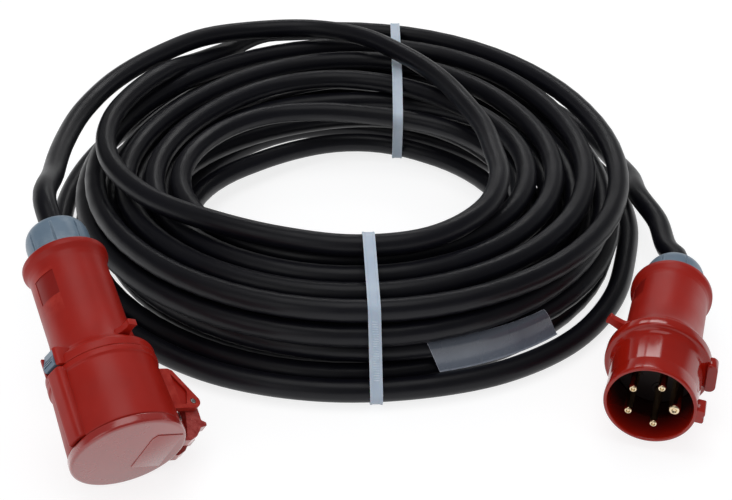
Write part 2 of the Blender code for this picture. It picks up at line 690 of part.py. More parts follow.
def make_connector_front(axis):
    """Make the connector's front housing: mouth, keyway rib and the lid's hinge ears."""
    joint = CONNECTOR_JOINT_Z
    front = place("connector_front_housing", turned([
        (32.5, 0), (MOUTH_R, -0.8), (33.0, -10.0), (31.9, -43.6), (32.7, -44.2),
        (32.7, joint + GAP), (26.4, joint + GAP), (26.4, -42.0), (29.2, -41.9),
        (MOUTH_BORE_R, -0.6), (30.4, 0)]), "red_plastic", axis)
    rib = [(-30.6, 6.6), (-35.2, 6.2), (-36.8, 4.6), (-36.8, -4.6), (-35.2, -6.2), (-30.6, -6.6)]
    shape(front, "UNION", spun(prism(rib, joint + GAP + 0.2, -0.4), RIB_TURN))
    ears = [side_prism(hinge_outline(28.6, 4.6), low, low + 3.8) for low in (11.2, -15.0)]
    shape(front, "UNION", gathered(ears))
    bore = rod(HINGE_BORE_R, -20, 20)
    bmesh.ops.transform(bore, matrix=Matrix.Rotation(math.radians(90), 4, "X"), verts=bore.verts)
    pocket = [(35.2, -37.5), (41.6, -24.0), (38.4, -17.0), (35.2, -17.0)]
    pockets = [side_prism(pocket, low, low + 2.6) for low in (13.6, -16.2)]
    keyway = spun(block((-33.6, -3.2, -38.0), (-28.3, 3.2, 2.0)), RIB_TURN)
    shape(front, "DIFFERENCE", gathered([shifted(bore, HINGE_X, 0, HINGE_Z), *pockets, keyway]))


def make_lid(axis):
    """Make the sprung lid with its knuckles, gasket, hinge pin and spring."""
    hinge = (HINGE_X, 0.0, HINGE_Z)
    lid = place("connector_lid", turned([
        (0, LID_FACE_Z), (32.6, LID_FACE_Z), (33.6, LID_FACE_Z - 0.5), (LID_R, LID_FACE_Z - 1.5),
        (LID_R, 0.4), (32.6, 0.4), (32.6, 2.2), (28.4, 2.2), (28.4, -2.5), (26.6, -2.5),
        (26.6, 2.2), (0, 2.2)], 32), "red_plastic", axis, hinge)
    arm = [(27.0, 3.2), (27.0, 5.7), (36.0, 5.7), (41.0, 3.0), (45.6, -2.6), (50.0, -3.6),
           (50.4, -6.0), (47.6, -7.6), *arc((HINGE_X, HINGE_Z), 4.4, 10, -190, 8), (38.0, -10.0),
           (35.8, -2.0), (34.2, 2.9)]
    arms = [side_prism(arm, low, low + 5.5) for low in (5.2, -10.7)]
    shape(lid, "UNION", gathered(arms))
    shape(lid, "UNION", block((7.5, -14.3, 4.0), (26.2, 19.0, LID_FACE_Z + 0.5)))
    bore = rod(HINGE_BORE_R, -14, 14)
    bmesh.ops.transform(bore, matrix=Matrix.Rotation(math.radians(90), 4, "X"), verts=bore.verts)
    shape(lid, "DIFFERENCE", shifted(bore, HINGE_X, 0, HINGE_Z))
    place("lid_gasket", turned([(28.8, 0.4), (32.2, 0.4), (32.2, 1.8), (28.8, 1.8)], 24),
          "seal_rubber", axis, hinge)
    pin = turned([(0, -16.4), (HINGE_PIN_R, -16.4), (HINGE_PIN_R, 15.3), (2.6, 15.3), (2.6, 16.2),
                  (1.6, 16.9), (0, 16.9)], 10)
    bmesh.ops.transform(pin, matrix=Matrix.Rotation(math.radians(-90), 4, "X"), verts=pin.verts)
    place("lid_hinge_pin", shifted(pin, *hinge), "steel", axis)
    make_lid_spring(axis)


def make_lid_spring(axis):
    """Make the torsion spring round the hinge pin; one leg bears on the housing."""
    curls, per_curl, radius, wire = 5, 9, 2.9, 0.45
    points = []
    for i in range(curls * per_curl + 1):
        a = math.tau * i / per_curl
        height = -3.4 + 6.6 * i / (curls * per_curl)
        points.append((HINGE_X + radius * math.sin(a), height, HINGE_Z - radius * math.cos(a)))
    points.insert(0, (HINGE_X - 9.0, -3.4, HINGE_Z - radius))
    points.append((HINGE_X + 1.2, 3.2, HINGE_Z - radius))
    tube("lid_spring", points, wire, "steel", axis, 1)


def make_connector(frame, floor):
    """Make the connector: lidded mouth, socket contacts, latch, grip and gland."""
    axis = empty("connector_axis", frame, floor)
    joint, rear = CONNECTOR_JOINT_Z, CONNECTOR_REAR_Z
    make_connector_front(axis)
    shoulder = [(32.7, joint), (32.7, joint - 5.0), (31.8, joint - 6.6), (28.4, joint - 9.0),
                (26.0, joint - 12.5), (24.9, joint - 18.0)]
    outline = rear_outline(joint, rear, shoulder, 26.4)
    back = place("connector_rear_housing", turned(outline), "red_plastic", axis)
    shape(back, "UNION", spun(radial_tab(25.6, 37.5, joint - 12.6, joint - 8.6), 180))
    pocket = block((-45.0, -5.3, joint - 14.0), (-28.0, 5.3, joint + 2.0))
    shape(back, "DIFFERENCE", spun(pocket, RIB_TURN))
    latch = side_prism([(-30.4, joint - 0.9), (-30.4, joint - 13.2), (-33.6, joint - 13.2),
                        (-37.4, joint - 3.4), (-36.8, joint - 0.9)], -4.9, 4.9)
    place("connector_latch", spun(latch, RIB_TURN), "grey_plastic", axis)
    insert = place("connector_insert", turned([
        (0, -2.0), (24.6, -2.0), (25.2, -2.6), (25.2, -37.6), (28.9, -37.6), (28.9, -41.6),
        (26.0, -41.6), (26.0, -52.0), (9.0, -52.0), (9.0, -66.0), (0, -66.0)]), "dark_insert", axis)
    bores = []
    for pole, degrees in zip(POLES, pole_directions()):
        hole = EARTH_PIN_R if pole == "earth" else PIN_R
        sleeve = terminal_radius(pole) + (0.6 if pole == "earth" else 0.2)
        stepped = turned([(0, -60), (sleeve + 0.4, -60), (sleeve + 0.4, -6.0), (hole + 0.4, -6.0),
                          (hole + 0.4, 2.0), (0, 2.0)], SMALL_ROUND)
        bores.append(spun(shifted(stepped, PIN_CIRCLE_R), degrees))
        barrel = terminal_radius(pole)
        outline = [(0, -40.0), (hole + 0.1, -40.0), (hole + 0.1, -6.4), (sleeve, -6.4),
                   (sleeve, -52.4), (barrel, -52.4), (barrel, -68.0), (1.9, -68.0), (1.9, -59.0),
                   (0, -59.0)]
        make_contact(f"socket_contact_{pole}", outline, pole, degrees, -63.0, axis)
    shape(insert, "DIFFERENCE", gathered(bores))
    make_lid(axis)
    make_terminal_screws("socket", -63.0, axis)
    make_gland("connector", rear, axis, 20.0)
    make_cores("socket", rear, -60.5, frame, floor)


def main():
    """Build the whole lead."""
    clear_scene()
    shift = Matrix.Translation(Vector((-MIDDLE[0], -MIDDLE[1], 0.0)) * MM)
    floor = empty("floor_frame", shift)
    plug_frame = lying_frame(PLUG_RIM, PLUG_YAW, PLUG_TILT, PLUG_ROLL)
    connector_frame = lying_frame(CONNECTOR_MOUTH, CONNECTOR_YAW, CONNECTOR_TILT, CONNECTOR_ROLL)
    cables = make_cable(floor, plug_frame, connector_frame)
    make_ties(cables, floor)
    make_label(floor)
    make_plug(plug_frame, floor)
    make_connector(connector_frame, floor)


if __name__ == "__main__":
    main()
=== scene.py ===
"""Looks of a five-pole industrial extension lead: finishes, fittings, cable and studio.

Lengths are in millimetres and angles in degrees unless a name says otherwise, and MM turns them
into metres. The floor is z = 0. Each fitting has its own frame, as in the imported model: z = 0 at
the mating rim, with the body running back along -z.
"""

from __future__ import annotations

import json
import logging
import math
from collections.abc import Callable, Sequence
from dataclasses import dataclass, field
from enum import Enum

import bmesh
import bpy
import numpy as np
from mathutils import Matrix, Quaternion, Vector

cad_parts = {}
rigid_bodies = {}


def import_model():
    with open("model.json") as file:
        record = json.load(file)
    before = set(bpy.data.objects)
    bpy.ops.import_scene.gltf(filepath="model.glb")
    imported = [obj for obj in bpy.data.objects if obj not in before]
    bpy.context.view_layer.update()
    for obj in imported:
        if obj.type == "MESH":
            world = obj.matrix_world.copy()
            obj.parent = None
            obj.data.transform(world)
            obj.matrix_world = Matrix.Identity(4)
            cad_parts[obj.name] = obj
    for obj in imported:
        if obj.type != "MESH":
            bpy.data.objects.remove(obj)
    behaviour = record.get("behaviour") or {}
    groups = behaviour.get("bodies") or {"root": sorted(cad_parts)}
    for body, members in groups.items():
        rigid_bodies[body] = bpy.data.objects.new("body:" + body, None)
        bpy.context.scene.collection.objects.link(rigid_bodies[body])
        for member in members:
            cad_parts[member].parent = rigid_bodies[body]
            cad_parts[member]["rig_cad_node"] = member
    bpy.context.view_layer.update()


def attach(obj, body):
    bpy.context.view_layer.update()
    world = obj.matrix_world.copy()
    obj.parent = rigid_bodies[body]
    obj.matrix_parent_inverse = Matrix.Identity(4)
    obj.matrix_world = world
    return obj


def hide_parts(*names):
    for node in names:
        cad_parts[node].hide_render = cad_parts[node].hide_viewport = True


LOG = logging.getLogger("extension_lead")
MM = 0.001
GAP = 0.3  # between pieces that meet
COIL_CENTRE = (-19.31, 212.31)  # where the coil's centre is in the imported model
POLES = ("earth", "neutral", "line_3", "line_2", "line_1")
PIN_CIRCLE_R = 14.3
PIN_STEP = 72.0
RIB_TURN = -10.0  # of the connector's keyway rib about its axis

BOOLEAN_TRIES = 8
NUDGE = 3e-6  # metres between one attempt at a Boolean and the next
KEPT_VOLUME = 0.97  # part of the expected volume that a good Boolean leaves
STRAIGHT_COSINE = -0.985  # a flatter corner isn't rounded
LONGEST_ROUNDING = 0.46  # of a side
SHARP_FROM = 38.0  # degrees
RUBBED_FROM, RUBBED_OVER = 7.0, 20.0  # degrees of fold

SUBSURFACE_SCALE = 0.002
GRAIN_DISTANCE = 0.0004
LINE_DEPTH, LINE_DISTANCE = 0.12, 0.0006
WEAR_SCALE, DUST_SCALE = 160.0, 70.0
GLOSS_PER_TONE_SCALE = 2.6
DUST_COLOUR = (0.42, 0.40, 0.37)

Outline = Sequence[tuple[float, float]]
Points = list[tuple[float, float]]
Colour = tuple[float, float, float]
Socket = bpy.types.NodeSocket


class Body(Enum):
    """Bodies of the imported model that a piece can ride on."""

    LEAD = "lead"
    LID = "lid"
    LATCH = "latch"
    PLUG_NUT = "plug_nut"
    CONNECTOR_NUT = "connector_nut"


class Slot(Enum):
    """Material slots of the record."""

    RED = "red_plastic"
    GREY = "grey_plastic"
    INSERT = "dark_insert"
    BRASS = "brass"
    STEEL = "steel"
    SEAL = "seal_rubber"
    CABLE = "cable_rubber"
    TIE = "tie_nylon"
    LABEL = "label_grey"
    CORE_BROWN = "core_brown"
    CORE_BLACK = "core_black"
    CORE_GREY = "core_grey"
    CORE_BLUE = "core_blue"
    CORE_GREEN = "core_green"


# --- node groups ---------------------------------------------------------------------------------
class NodeSheet:
    """Adds nodes to one tree and joins them."""

    def __init__(self, tree: bpy.types.NodeTree) -> None:
        """Keep the tree that the nodes go into."""
        self.tree = tree

    def add(self, kind: str, settings: dict | None = None, **sockets: object) -> bpy.types.Node:
        """Add a node.

        Args:
            kind: The node's type, such as ShaderNodeBump.
            settings: Values of the node's own properties.
            **sockets: Input sockets by name, underscores for spaces; a value or a socket to join.

        Returns:
            The new node.
        """
        node = self.tree.nodes.new(kind)
        for name, value in (settings or {}).items():
            setattr(node, name, value)
        for name, value in sockets.items():
            self.feed(node, name.replace("_", " "), value)
        return node

    def feed(self, node: bpy.types.Node, name: str | int, value: object) -> None:
        """Set an input socket, or join another node's output to it."""
        socket = node.inputs[name]
        if isinstance(value, bpy.types.NodeSocket):
            self.tree.links.new(value, socket)
        else:
            socket.default_value = value

    def mix(self, factor: object, low: object, high: object, kind: str = "RGBA") -> Socket:
        """Mix two colours, or two values with FLOAT as the kind, and return the result."""
        node = self.add("ShaderNodeMix", {"data_type": kind})
        first, out = (6, 2) if kind == "RGBA" else (2, 0)
        for index, value in ((0, factor), (first, low), (first + 1, high)):
            self.feed(node, index, (*value, 1.0) if isinstance(value, tuple) else value)
        return node.outputs[out]

    def maths(self, operation: str, first: object, second: object, clamp: bool = True) -> Socket:
        """Combine two values and return the result."""
        node = self.add("ShaderNodeMath", {"operation": operation, "use_clamp": clamp})
        self.feed(node, 0, first)
        self.feed(node, 1, second)
        return node.outputs[0]

    def noise(self, vector: object, scale: object, **sockets: float) -> Socket:
        """Return a noise texture's value."""
        return self.add("ShaderNodeTexNoise", None, Vector=vector, Scale=scale,
                        **sockets).outputs[0]

    def spread(self, value: object, low: float, high: float, way: str = "LINEAR",
               **ends: object) -> Socket:
        """Spread a value's stretch from low to high over 0 to 1, or over To_Min to To_Max."""
        return self.add("ShaderNodeMapRange", {"interpolation_type": way}, Value=value,
                        From_Min=low, From_Max=high, **ends).outputs[0]

    def attribute(self, name: str) -> Socket:
        """Return a mesh attribute's value."""
        return self.add("ShaderNodeAttribute", {"attribute_name": name}).outputs["Fac"]

    def height_of(self, vector: object) -> Socket:
        """Return a vector's Z."""
        return self.add("ShaderNodeSeparateXYZ", None, Vector=vector).outputs[2]


class Effect(Enum):
    """Surface effects that several finishes share, each a node group built once."""

    MOTTLE = "surface_mottle"
    GRAIN = "moulding_grain"
    WEAR = "edge_wear"
    DUST = "settled_dust"
    DRAWN_LINES = "drawn_lines"

    def group(self) -> bpy.types.NodeTree:
        """Return the effect's node group, building it the first time."""
        found = bpy.data.node_groups.get(self.value)
        if found:
            return found
        floats, build = {
            Effect.MOTTLE: ({"Scale": 40.0, "Low": 0.0, "High": 1.0}, self._mottle),
            Effect.GRAIN: ({"Scale": 900.0, "Peel": 0.4}, self._grain),
            Effect.WEAR: ({"Edge": 0.0, "Scale": 120.0, "Amount": 1.0}, self._wear),
            Effect.DUST: ({"Up": 0.0, "Scale": 60.0, "Amount": 0.1}, self._dust),
            Effect.DRAWN_LINES: ({"Along": 60.0, "Across": 26.0}, self._drawn_lines),
        }[self]
        tree = bpy.data.node_groups.new(self.value, "ShaderNodeTree")
        ports = tree.interface
        ports.new_socket("Vector", in_out="INPUT", socket_type="NodeSocketVector")
        for name, value in floats.items():
            socket = ports.new_socket(name, in_out="INPUT", socket_type="NodeSocketFloat")
            socket.default_value = value
        ports.new_socket("Value", in_out="OUTPUT", socket_type="NodeSocketFloat")
        sheet = NodeSheet(tree)
        result = build(sheet, sheet.add("NodeGroupInput").outputs)
        sheet.feed(sheet.add("NodeGroupOutput"), 0, result)
        return tree

    @staticmethod
    def _mottle(sheet: NodeSheet, given: Sequence[Socket]) -> Socket:
        """Return soft patches between a low and a high value."""
        noise = sheet.noise(given["Vector"], given["Scale"], Detail=4.0, Roughness=0.58,
                            Distortion=0.35)
        return sheet.spread(noise, 0.3, 0.7, "SMOOTHSTEP", To_Min=given["Low"],
                            To_Max=given["High"])

    @staticmethod
    def _grain(sheet: NodeSheet, given: Sequence[Socket]) -> Socket:
        """Return fine moulding grain over a slow orange peel."""
        fine = sheet.noise(given["Vector"], given["Scale"], Detail=2.0, Roughness=0.6)
        slow_scale = sheet.maths("MULTIPLY", given["Scale"], 0.17, clamp=False)
        slow = sheet.noise(given["Vector"], slow_scale, Detail=1.0)
        return sheet.mix(given["Peel"], fine, slow, "FLOAT")

    @staticmethod
    def _wear(sheet: NodeSheet, given: Sequence[Socket]) -> Socket:
        """Return rubbed edges, broken up by noise."""
        noise = sheet.noise(given["Vector"], given["Scale"], Detail=5.0, Roughness=0.7)
        edge, broken = sheet.spread(given["Edge"], 0.35, 1.0), sheet.spread(noise, 0.38, 0.62)
        return sheet.maths("MULTIPLY", sheet.maths("MULTIPLY", edge, broken), given["Amount"])

    @staticmethod
    def _dust(sheet: NodeSheet, given: Sequence[Socket]) -> Socket:
        """Return thin dust on what faces up; Up is the normal's height."""
        noise = sheet.noise(given["Vector"], given["Scale"], Detail=6.0, Roughness=0.72)
        up = sheet.maths("POWER", sheet.maths("MAXIMUM", given["Up"], 0.0), 1.5)
        both = sheet.maths("MULTIPLY", up, sheet.spread(noise, 0.42, 0.75))
        return sheet.maths("MULTIPLY", both, given["Amount"])

    @staticmethod
    def _drawn_lines(sheet: NodeSheet, given: Sequence[Socket]) -> Socket:
        """Return lines drawn along a cable or strap; Vector is its own map, along and across."""
        parts = sheet.add("ShaderNodeSeparateXYZ", None, Vector=given["Vector"]).outputs
        along, across = (sheet.maths("MULTIPLY", part, given[name], clamp=False)
                         for part, name in zip(parts, ("Along", "Across")))
        chart = sheet.add("ShaderNodeCombineXYZ", None, X=along, Y=across).outputs[0]
        return sheet.noise(chart, 1.0, Detail=3.0, Roughness=0.5)


# --- finishes ------------------------------------------------------------------------------------
@dataclass(frozen=True)
class Finish:
    """A moulded, drawn or turned surface, with tone, gloss, grain, wear, dust and painted shade."""

    name: str
    slot: Slot
    colour: Colour
    deep_colour: Colour
    gloss: tuple[float, float] = (0.3, 0.42)
    tone_scale: float = 22.0
    grain_scale: float = 1100.0
    grain_depth: float = 0.06
    peel: float = 0.45
    worn_colour: Colour | None = None
    wear: float = 0.5
    dust: float = 0.0
    metallic: float = 0.0
    coat: float = 0.0
    coat_roughness: float = 0.12
    ior: float = 1.5
    specular: float = 0.5
    # painted shade: the darker colour that a per-point mask mixes in
    painted_shade_colour: Colour | None = None
    subsurface: float = 0.0
    lines: tuple[float, float] | None = None

    def material(self) -> bpy.types.Material:
        """Return the finish as a Blender material, building it the first time."""
        found = bpy.data.materials.get(self.name)
        if found:
            return found
        made = bpy.data.materials.new(self.name)
        made.use_nodes = True
        sheet = NodeSheet(made.node_tree)
        shader = made.node_tree.nodes["Principled BSDF"]
        for socket, value in {
            "Metallic": self.metallic, "IOR": self.ior, "Specular IOR Level": self.specular,
            "Coat Weight": self.coat, "Coat Roughness": self.coat_roughness,
            "Subsurface Weight": self.subsurface, "Subsurface Scale": SUBSURFACE_SCALE,
        }.items():
            shader.inputs[socket].default_value = value
        place = sheet.add("ShaderNodeTexCoord").outputs["Object"]
        sheet.feed(shader, "Base Color", self._tone(sheet, place))
        low, high = self.gloss
        gloss = self._effect(sheet, Effect.MOTTLE, Vector=place, Low=low, High=high,
                             Scale=self.tone_scale * GLOSS_PER_TONE_SCALE)
        sheet.feed(shader, "Roughness", gloss)
        sheet.feed(shader, "Normal", self._relief(sheet, place))
        return made

    @staticmethod
    def _effect(sheet: NodeSheet, effect: Effect, **sockets: object) -> Socket:
        """Place a shared effect in a material and return its output."""
        return sheet.add("ShaderNodeGroup", {"node_tree": effect.group()}, **sockets).outputs[0]

    def _tone(self, sheet: NodeSheet, place: Socket) -> Socket:
        """Return the colour: tone patches, painted shade, rubbed edges, then dust."""
        patches = self._effect(sheet, Effect.MOTTLE, Vector=place, Scale=self.tone_scale)
        colour = sheet.mix(patches, self.deep_colour, self.colour)
        # painted shade: the darker colour mixed in where the points are marked for it
        if self.painted_shade_colour:
            colour = sheet.mix(sheet.attribute("painted_shade"), colour, self.painted_shade_colour)
        if self.worn_colour:
            worn = self._effect(sheet, Effect.WEAR, Vector=place, Edge=sheet.attribute("edge"),
                                Scale=WEAR_SCALE, Amount=self.wear)
            colour = sheet.mix(worn, colour, self.worn_colour)
        if self.dust:
            up = sheet.height_of(sheet.add("ShaderNodeNewGeometry").outputs["Normal"])
            dust = self._effect(sheet, Effect.DUST, Vector=place, Up=up, Scale=DUST_SCALE,
                                Amount=self.dust)
            colour = sheet.mix(dust, colour, DUST_COLOUR)
        return colour

    def _relief(self, sheet: NodeSheet, place: Socket) -> Socket:
        """Return the normal: fine grain, and drawn lines where the surface has them."""
        height = self._effect(sheet, Effect.GRAIN, Vector=place, Scale=self.grain_scale,
                              Peel=self.peel)
        bump = sheet.add("ShaderNodeBump", None, Strength=self.grain_depth, Height=height,
                         Distance=GRAIN_DISTANCE)
        if self.lines:
            along, across = self.lines
            chart = sheet.add("ShaderNodeTexCoord").outputs["UV"]
            lines = self._effect(sheet, Effect.DRAWN_LINES, Vector=chart, Along=along,
                                 Across=across)
            bump = sheet.add("ShaderNodeBump", None, Strength=LINE_DEPTH, Height=lines,
                             Distance=LINE_DISTANCE, Normal=bump.outputs[0])
        return bump.outputs[0]


# Its painted shade colour darkens the grips' sunk panel floors.
RED_BODY = Finish("red_grip_plastic", Slot.RED, (0.40, 0.0110, 0.0040), (0.33, 0.0085, 0.0030),
                  gloss=(0.34, 0.42), tone_scale=16.0, grain_scale=1500.0, grain_depth=0.10,
                  worn_colour=(0.56, 0.06, 0.04), wear=0.5, dust=0.01, specular=0.32,
                  painted_shade_colour=(0.25, 0.005, 0.002))
# Its near-black painted shade colour darkens the shroud's inside the deeper it lies.
RED_GLOSSY = Finish("red_polished_plastic", Slot.RED, (0.37, 0.0110, 0.0040),
                    (0.30, 0.0080, 0.0030), gloss=(0.10, 0.14), tone_scale=14.0,
                    grain_scale=700.0, grain_depth=0.02,
                    worn_colour=(0.56, 0.06, 0.04), wear=0.4, dust=0.005,
                    painted_shade_colour=(0.008, 0.0006, 0.0005))
RED_LID = Finish("red_lid_plastic", Slot.RED, (0.37, 0.013, 0.008), (0.31, 0.011, 0.007),
                 gloss=(0.24, 0.30), tone_scale=14.0, grain_scale=1200.0, grain_depth=0.05,
                 worn_colour=(0.60, 0.10, 0.08), wear=0.6, dust=0.01, coat=1.0,
                 coat_roughness=0.20, ior=1.6)
GREY_NUT = Finish("blue_grey_plastic", Slot.GREY, (0.165, 0.235, 0.305), (0.125, 0.185, 0.25),
                  gloss=(0.32, 0.42), grain_scale=1300.0, grain_depth=0.08,
                  worn_colour=(0.30, 0.37, 0.44), wear=0.6, dust=0.04)
DARK_INSERT = Finish("dark_contact_carrier", Slot.INSERT, (0.012, 0.005, 0.005),
                     (0.008, 0.004, 0.004), gloss=(0.5, 0.6), grain_depth=0.08)
BRASS = Finish("turned_brass", Slot.BRASS, (0.84, 0.70, 0.48), (0.76, 0.60, 0.38),
               gloss=(0.12, 0.22), tone_scale=90.0, grain_scale=2600.0, grain_depth=0.05,
               metallic=1.0)
STEEL = Finish("plated_steel", Slot.STEEL, (0.66, 0.66, 0.65), (0.56, 0.56, 0.56),
               gloss=(0.22, 0.36), tone_scale=80.0, grain_scale=2400.0, grain_depth=0.06,
               metallic=1.0)
SEAL_RUBBER = Finish("seal_rubber_black", Slot.SEAL, (0.018, 0.018, 0.019), (0.012, 0.012, 0.013),
                     gloss=(0.6, 0.75), grain_depth=0.15)
CABLE_RUBBER = Finish("cable_jacket_rubber", Slot.CABLE, (0.0042, 0.0042, 0.0078),
                      (0.0024, 0.0024, 0.0050), gloss=(0.36, 0.48), tone_scale=9.0,
                      grain_scale=1700.0, grain_depth=0.10, peel=0.3, dust=0.003,
                      coat=0.05, coat_roughness=0.16, specular=0.27, lines=(900.0, 30.0))
TIE_NYLON = Finish("milky_nylon", Slot.TIE, (0.58, 0.66, 0.75), (0.46, 0.55, 0.66),
                   gloss=(0.3, 0.4), tone_scale=30.0, grain_scale=800.0, grain_depth=0.04,
                   worn_colour=(0.86, 0.90, 0.94), wear=0.8, subsurface=0.12)
# Its darker painted shade colour darkens the film's upper part.
LABEL_FILM = Finish("bare_grey_film", Slot.LABEL, (0.27, 0.305, 0.365), (0.21, 0.24, 0.295),
                    gloss=(0.22, 0.32), tone_scale=30.0, grain_scale=500.0, grain_depth=0.05,
                    # the colour given here as worn lines the film's lower hem and cut ends in pale
                    # lavender, at full strength
                    worn_colour=(0.72, 0.74, 0.84), wear=1.0, coat=0.4,
                    painted_shade_colour=(0.085, 0.098, 0.122))
CORES = (
    Finish("core_earth_green", Slot.CORE_GREEN, (0.34, 0.52, 0.03), (0.25, 0.42, 0.03)),
    Finish("core_neutral_blue", Slot.CORE_BLUE, (0.02, 0.11, 0.45), (0.02, 0.08, 0.36)),
    Finish("core_line_grey", Slot.CORE_GREY, (0.30, 0.30, 0.30), (0.24, 0.24, 0.24)),
    Finish("core_line_black", Slot.CORE_BLACK, (0.014, 0.014, 0.014), (0.01, 0.01, 0.01)),
    Finish("core_line_brown", Slot.CORE_BROWN, (0.13, 0.05, 0.018), (0.10, 0.036, 0.013)),
)


# --- shapes --------------------------------------------------------------------------------------
def place_object(name: str, data: bpy.types.ID) -> bpy.types.Object:
    """Put a mesh, curve, lamp or camera into the scene."""
    made = bpy.data.objects.new(name, data)
    bpy.context.scene.collection.objects.link(made)
    return made


def discard(thing: bpy.types.Object) -> None:
    """Take a mesh object away, with its mesh."""
    mesh = thing.data
    bpy.data.objects.remove(thing, do_unlink=True)
    bpy.data.meshes.remove(mesh)


def settle(piece: bpy.types.Object, finish: Finish, body: Body, *stands_for: str) -> None:
    """Let a piece ride on its body and stand for its nodes; then log it."""
    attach(piece, body.value)
    if stands_for:
        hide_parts(*stands_for)
    LOG.info("%s rides on %s", piece.name, body.value)


def wire(name: str, points: Sequence, radius: float, sides: int, finish: Finish,
         *stands_for: str) -> bpy.types.Object:
    """Make a round piece along points in metres, on the lead's own body.

    Args:
        name: The piece's name.
        points: Its middle line, in metres.
        radius: Half its thickness, in millimetres.
        sides: How finely its section is rounded.
        finish: Its surface.
        *stands_for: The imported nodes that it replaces.

    Returns:
        The new curve object.
    """
    curve = bpy.data.curves.new(name, "CURVE")
    curve.dimensions = "3D"
    curve.bevel_depth = radius * MM
    curve.bevel_resolution = sides
    curve.use_fill_caps = True
    spline = curve.splines.new("POLY")
    spline.points.add(len(points) - 1)
    for knot, point in zip(spline.points, points):
        knot.co = (*point, 1.0)
    spline.use_smooth = True
    curve.materials.append(finish.material())
    made = place_object(name, curve)
    settle(made, finish, Body.LEAD, *stands_for)
    return made


def unit(way: Sequence[float]) -> np.ndarray:
    """Return a direction at length one."""
    return np.array(way) / np.linalg.norm(way)


def share(value: float) -> float:
    """Return a value held between 0 and 1."""
    return min(max(value, 0.0), 1.0)


def softened(outline: Outline, radius: float, steps: int = 3) -> Points:
    """Round the corners of a closed flat outline.

    Args:
        outline: Corner points.
        radius: Largest distance from a corner at which its rounding starts.
        steps: Points that each rounding adds.

    Returns:
        The outline with rounded corners; points on the axis stay as they are.
    """
    soft = []
    for i, corner in enumerate(outline):
        here = np.array(corner[:2], float)
        before = np.array(outline[i - 1][:2], float) - here
        after = np.array(outline[(i + 1) % len(outline)][:2], float) - here
        lengths = np.linalg.norm(before), np.linalg.norm(after)
        straight = float(before @ after) / (lengths[0] * lengths[1]) < STRAIGHT_COSINE
        if straight or here[0] == 0.0 or radius <= 0.0:
            soft.append((float(here[0]), float(here[1])))
            continue
        start, end = (here + way / n * min(radius, LONGEST_ROUNDING * n)
                      for way, n in zip((before, after), lengths))
        for t in np.linspace(0.0, 1.0, steps + 1):
            point = (1 - t) ** 2 * start + 2 * t * (1 - t) * here + t**2 * end
            soft.append((float(point[0]), float(point[1])))
    return soft


def arc(centre: tuple[float, float], radius: float, start: float, end: float, steps: int) -> Points:
    """Return points along an arc of a flat outline, both ends included."""
    angles = [math.radians(start + (end - start) * i / steps) for i in range(steps + 1)]
    return [(centre[0] + radius * math.cos(a), centre[1] + radius * math.sin(a)) for a in angles]


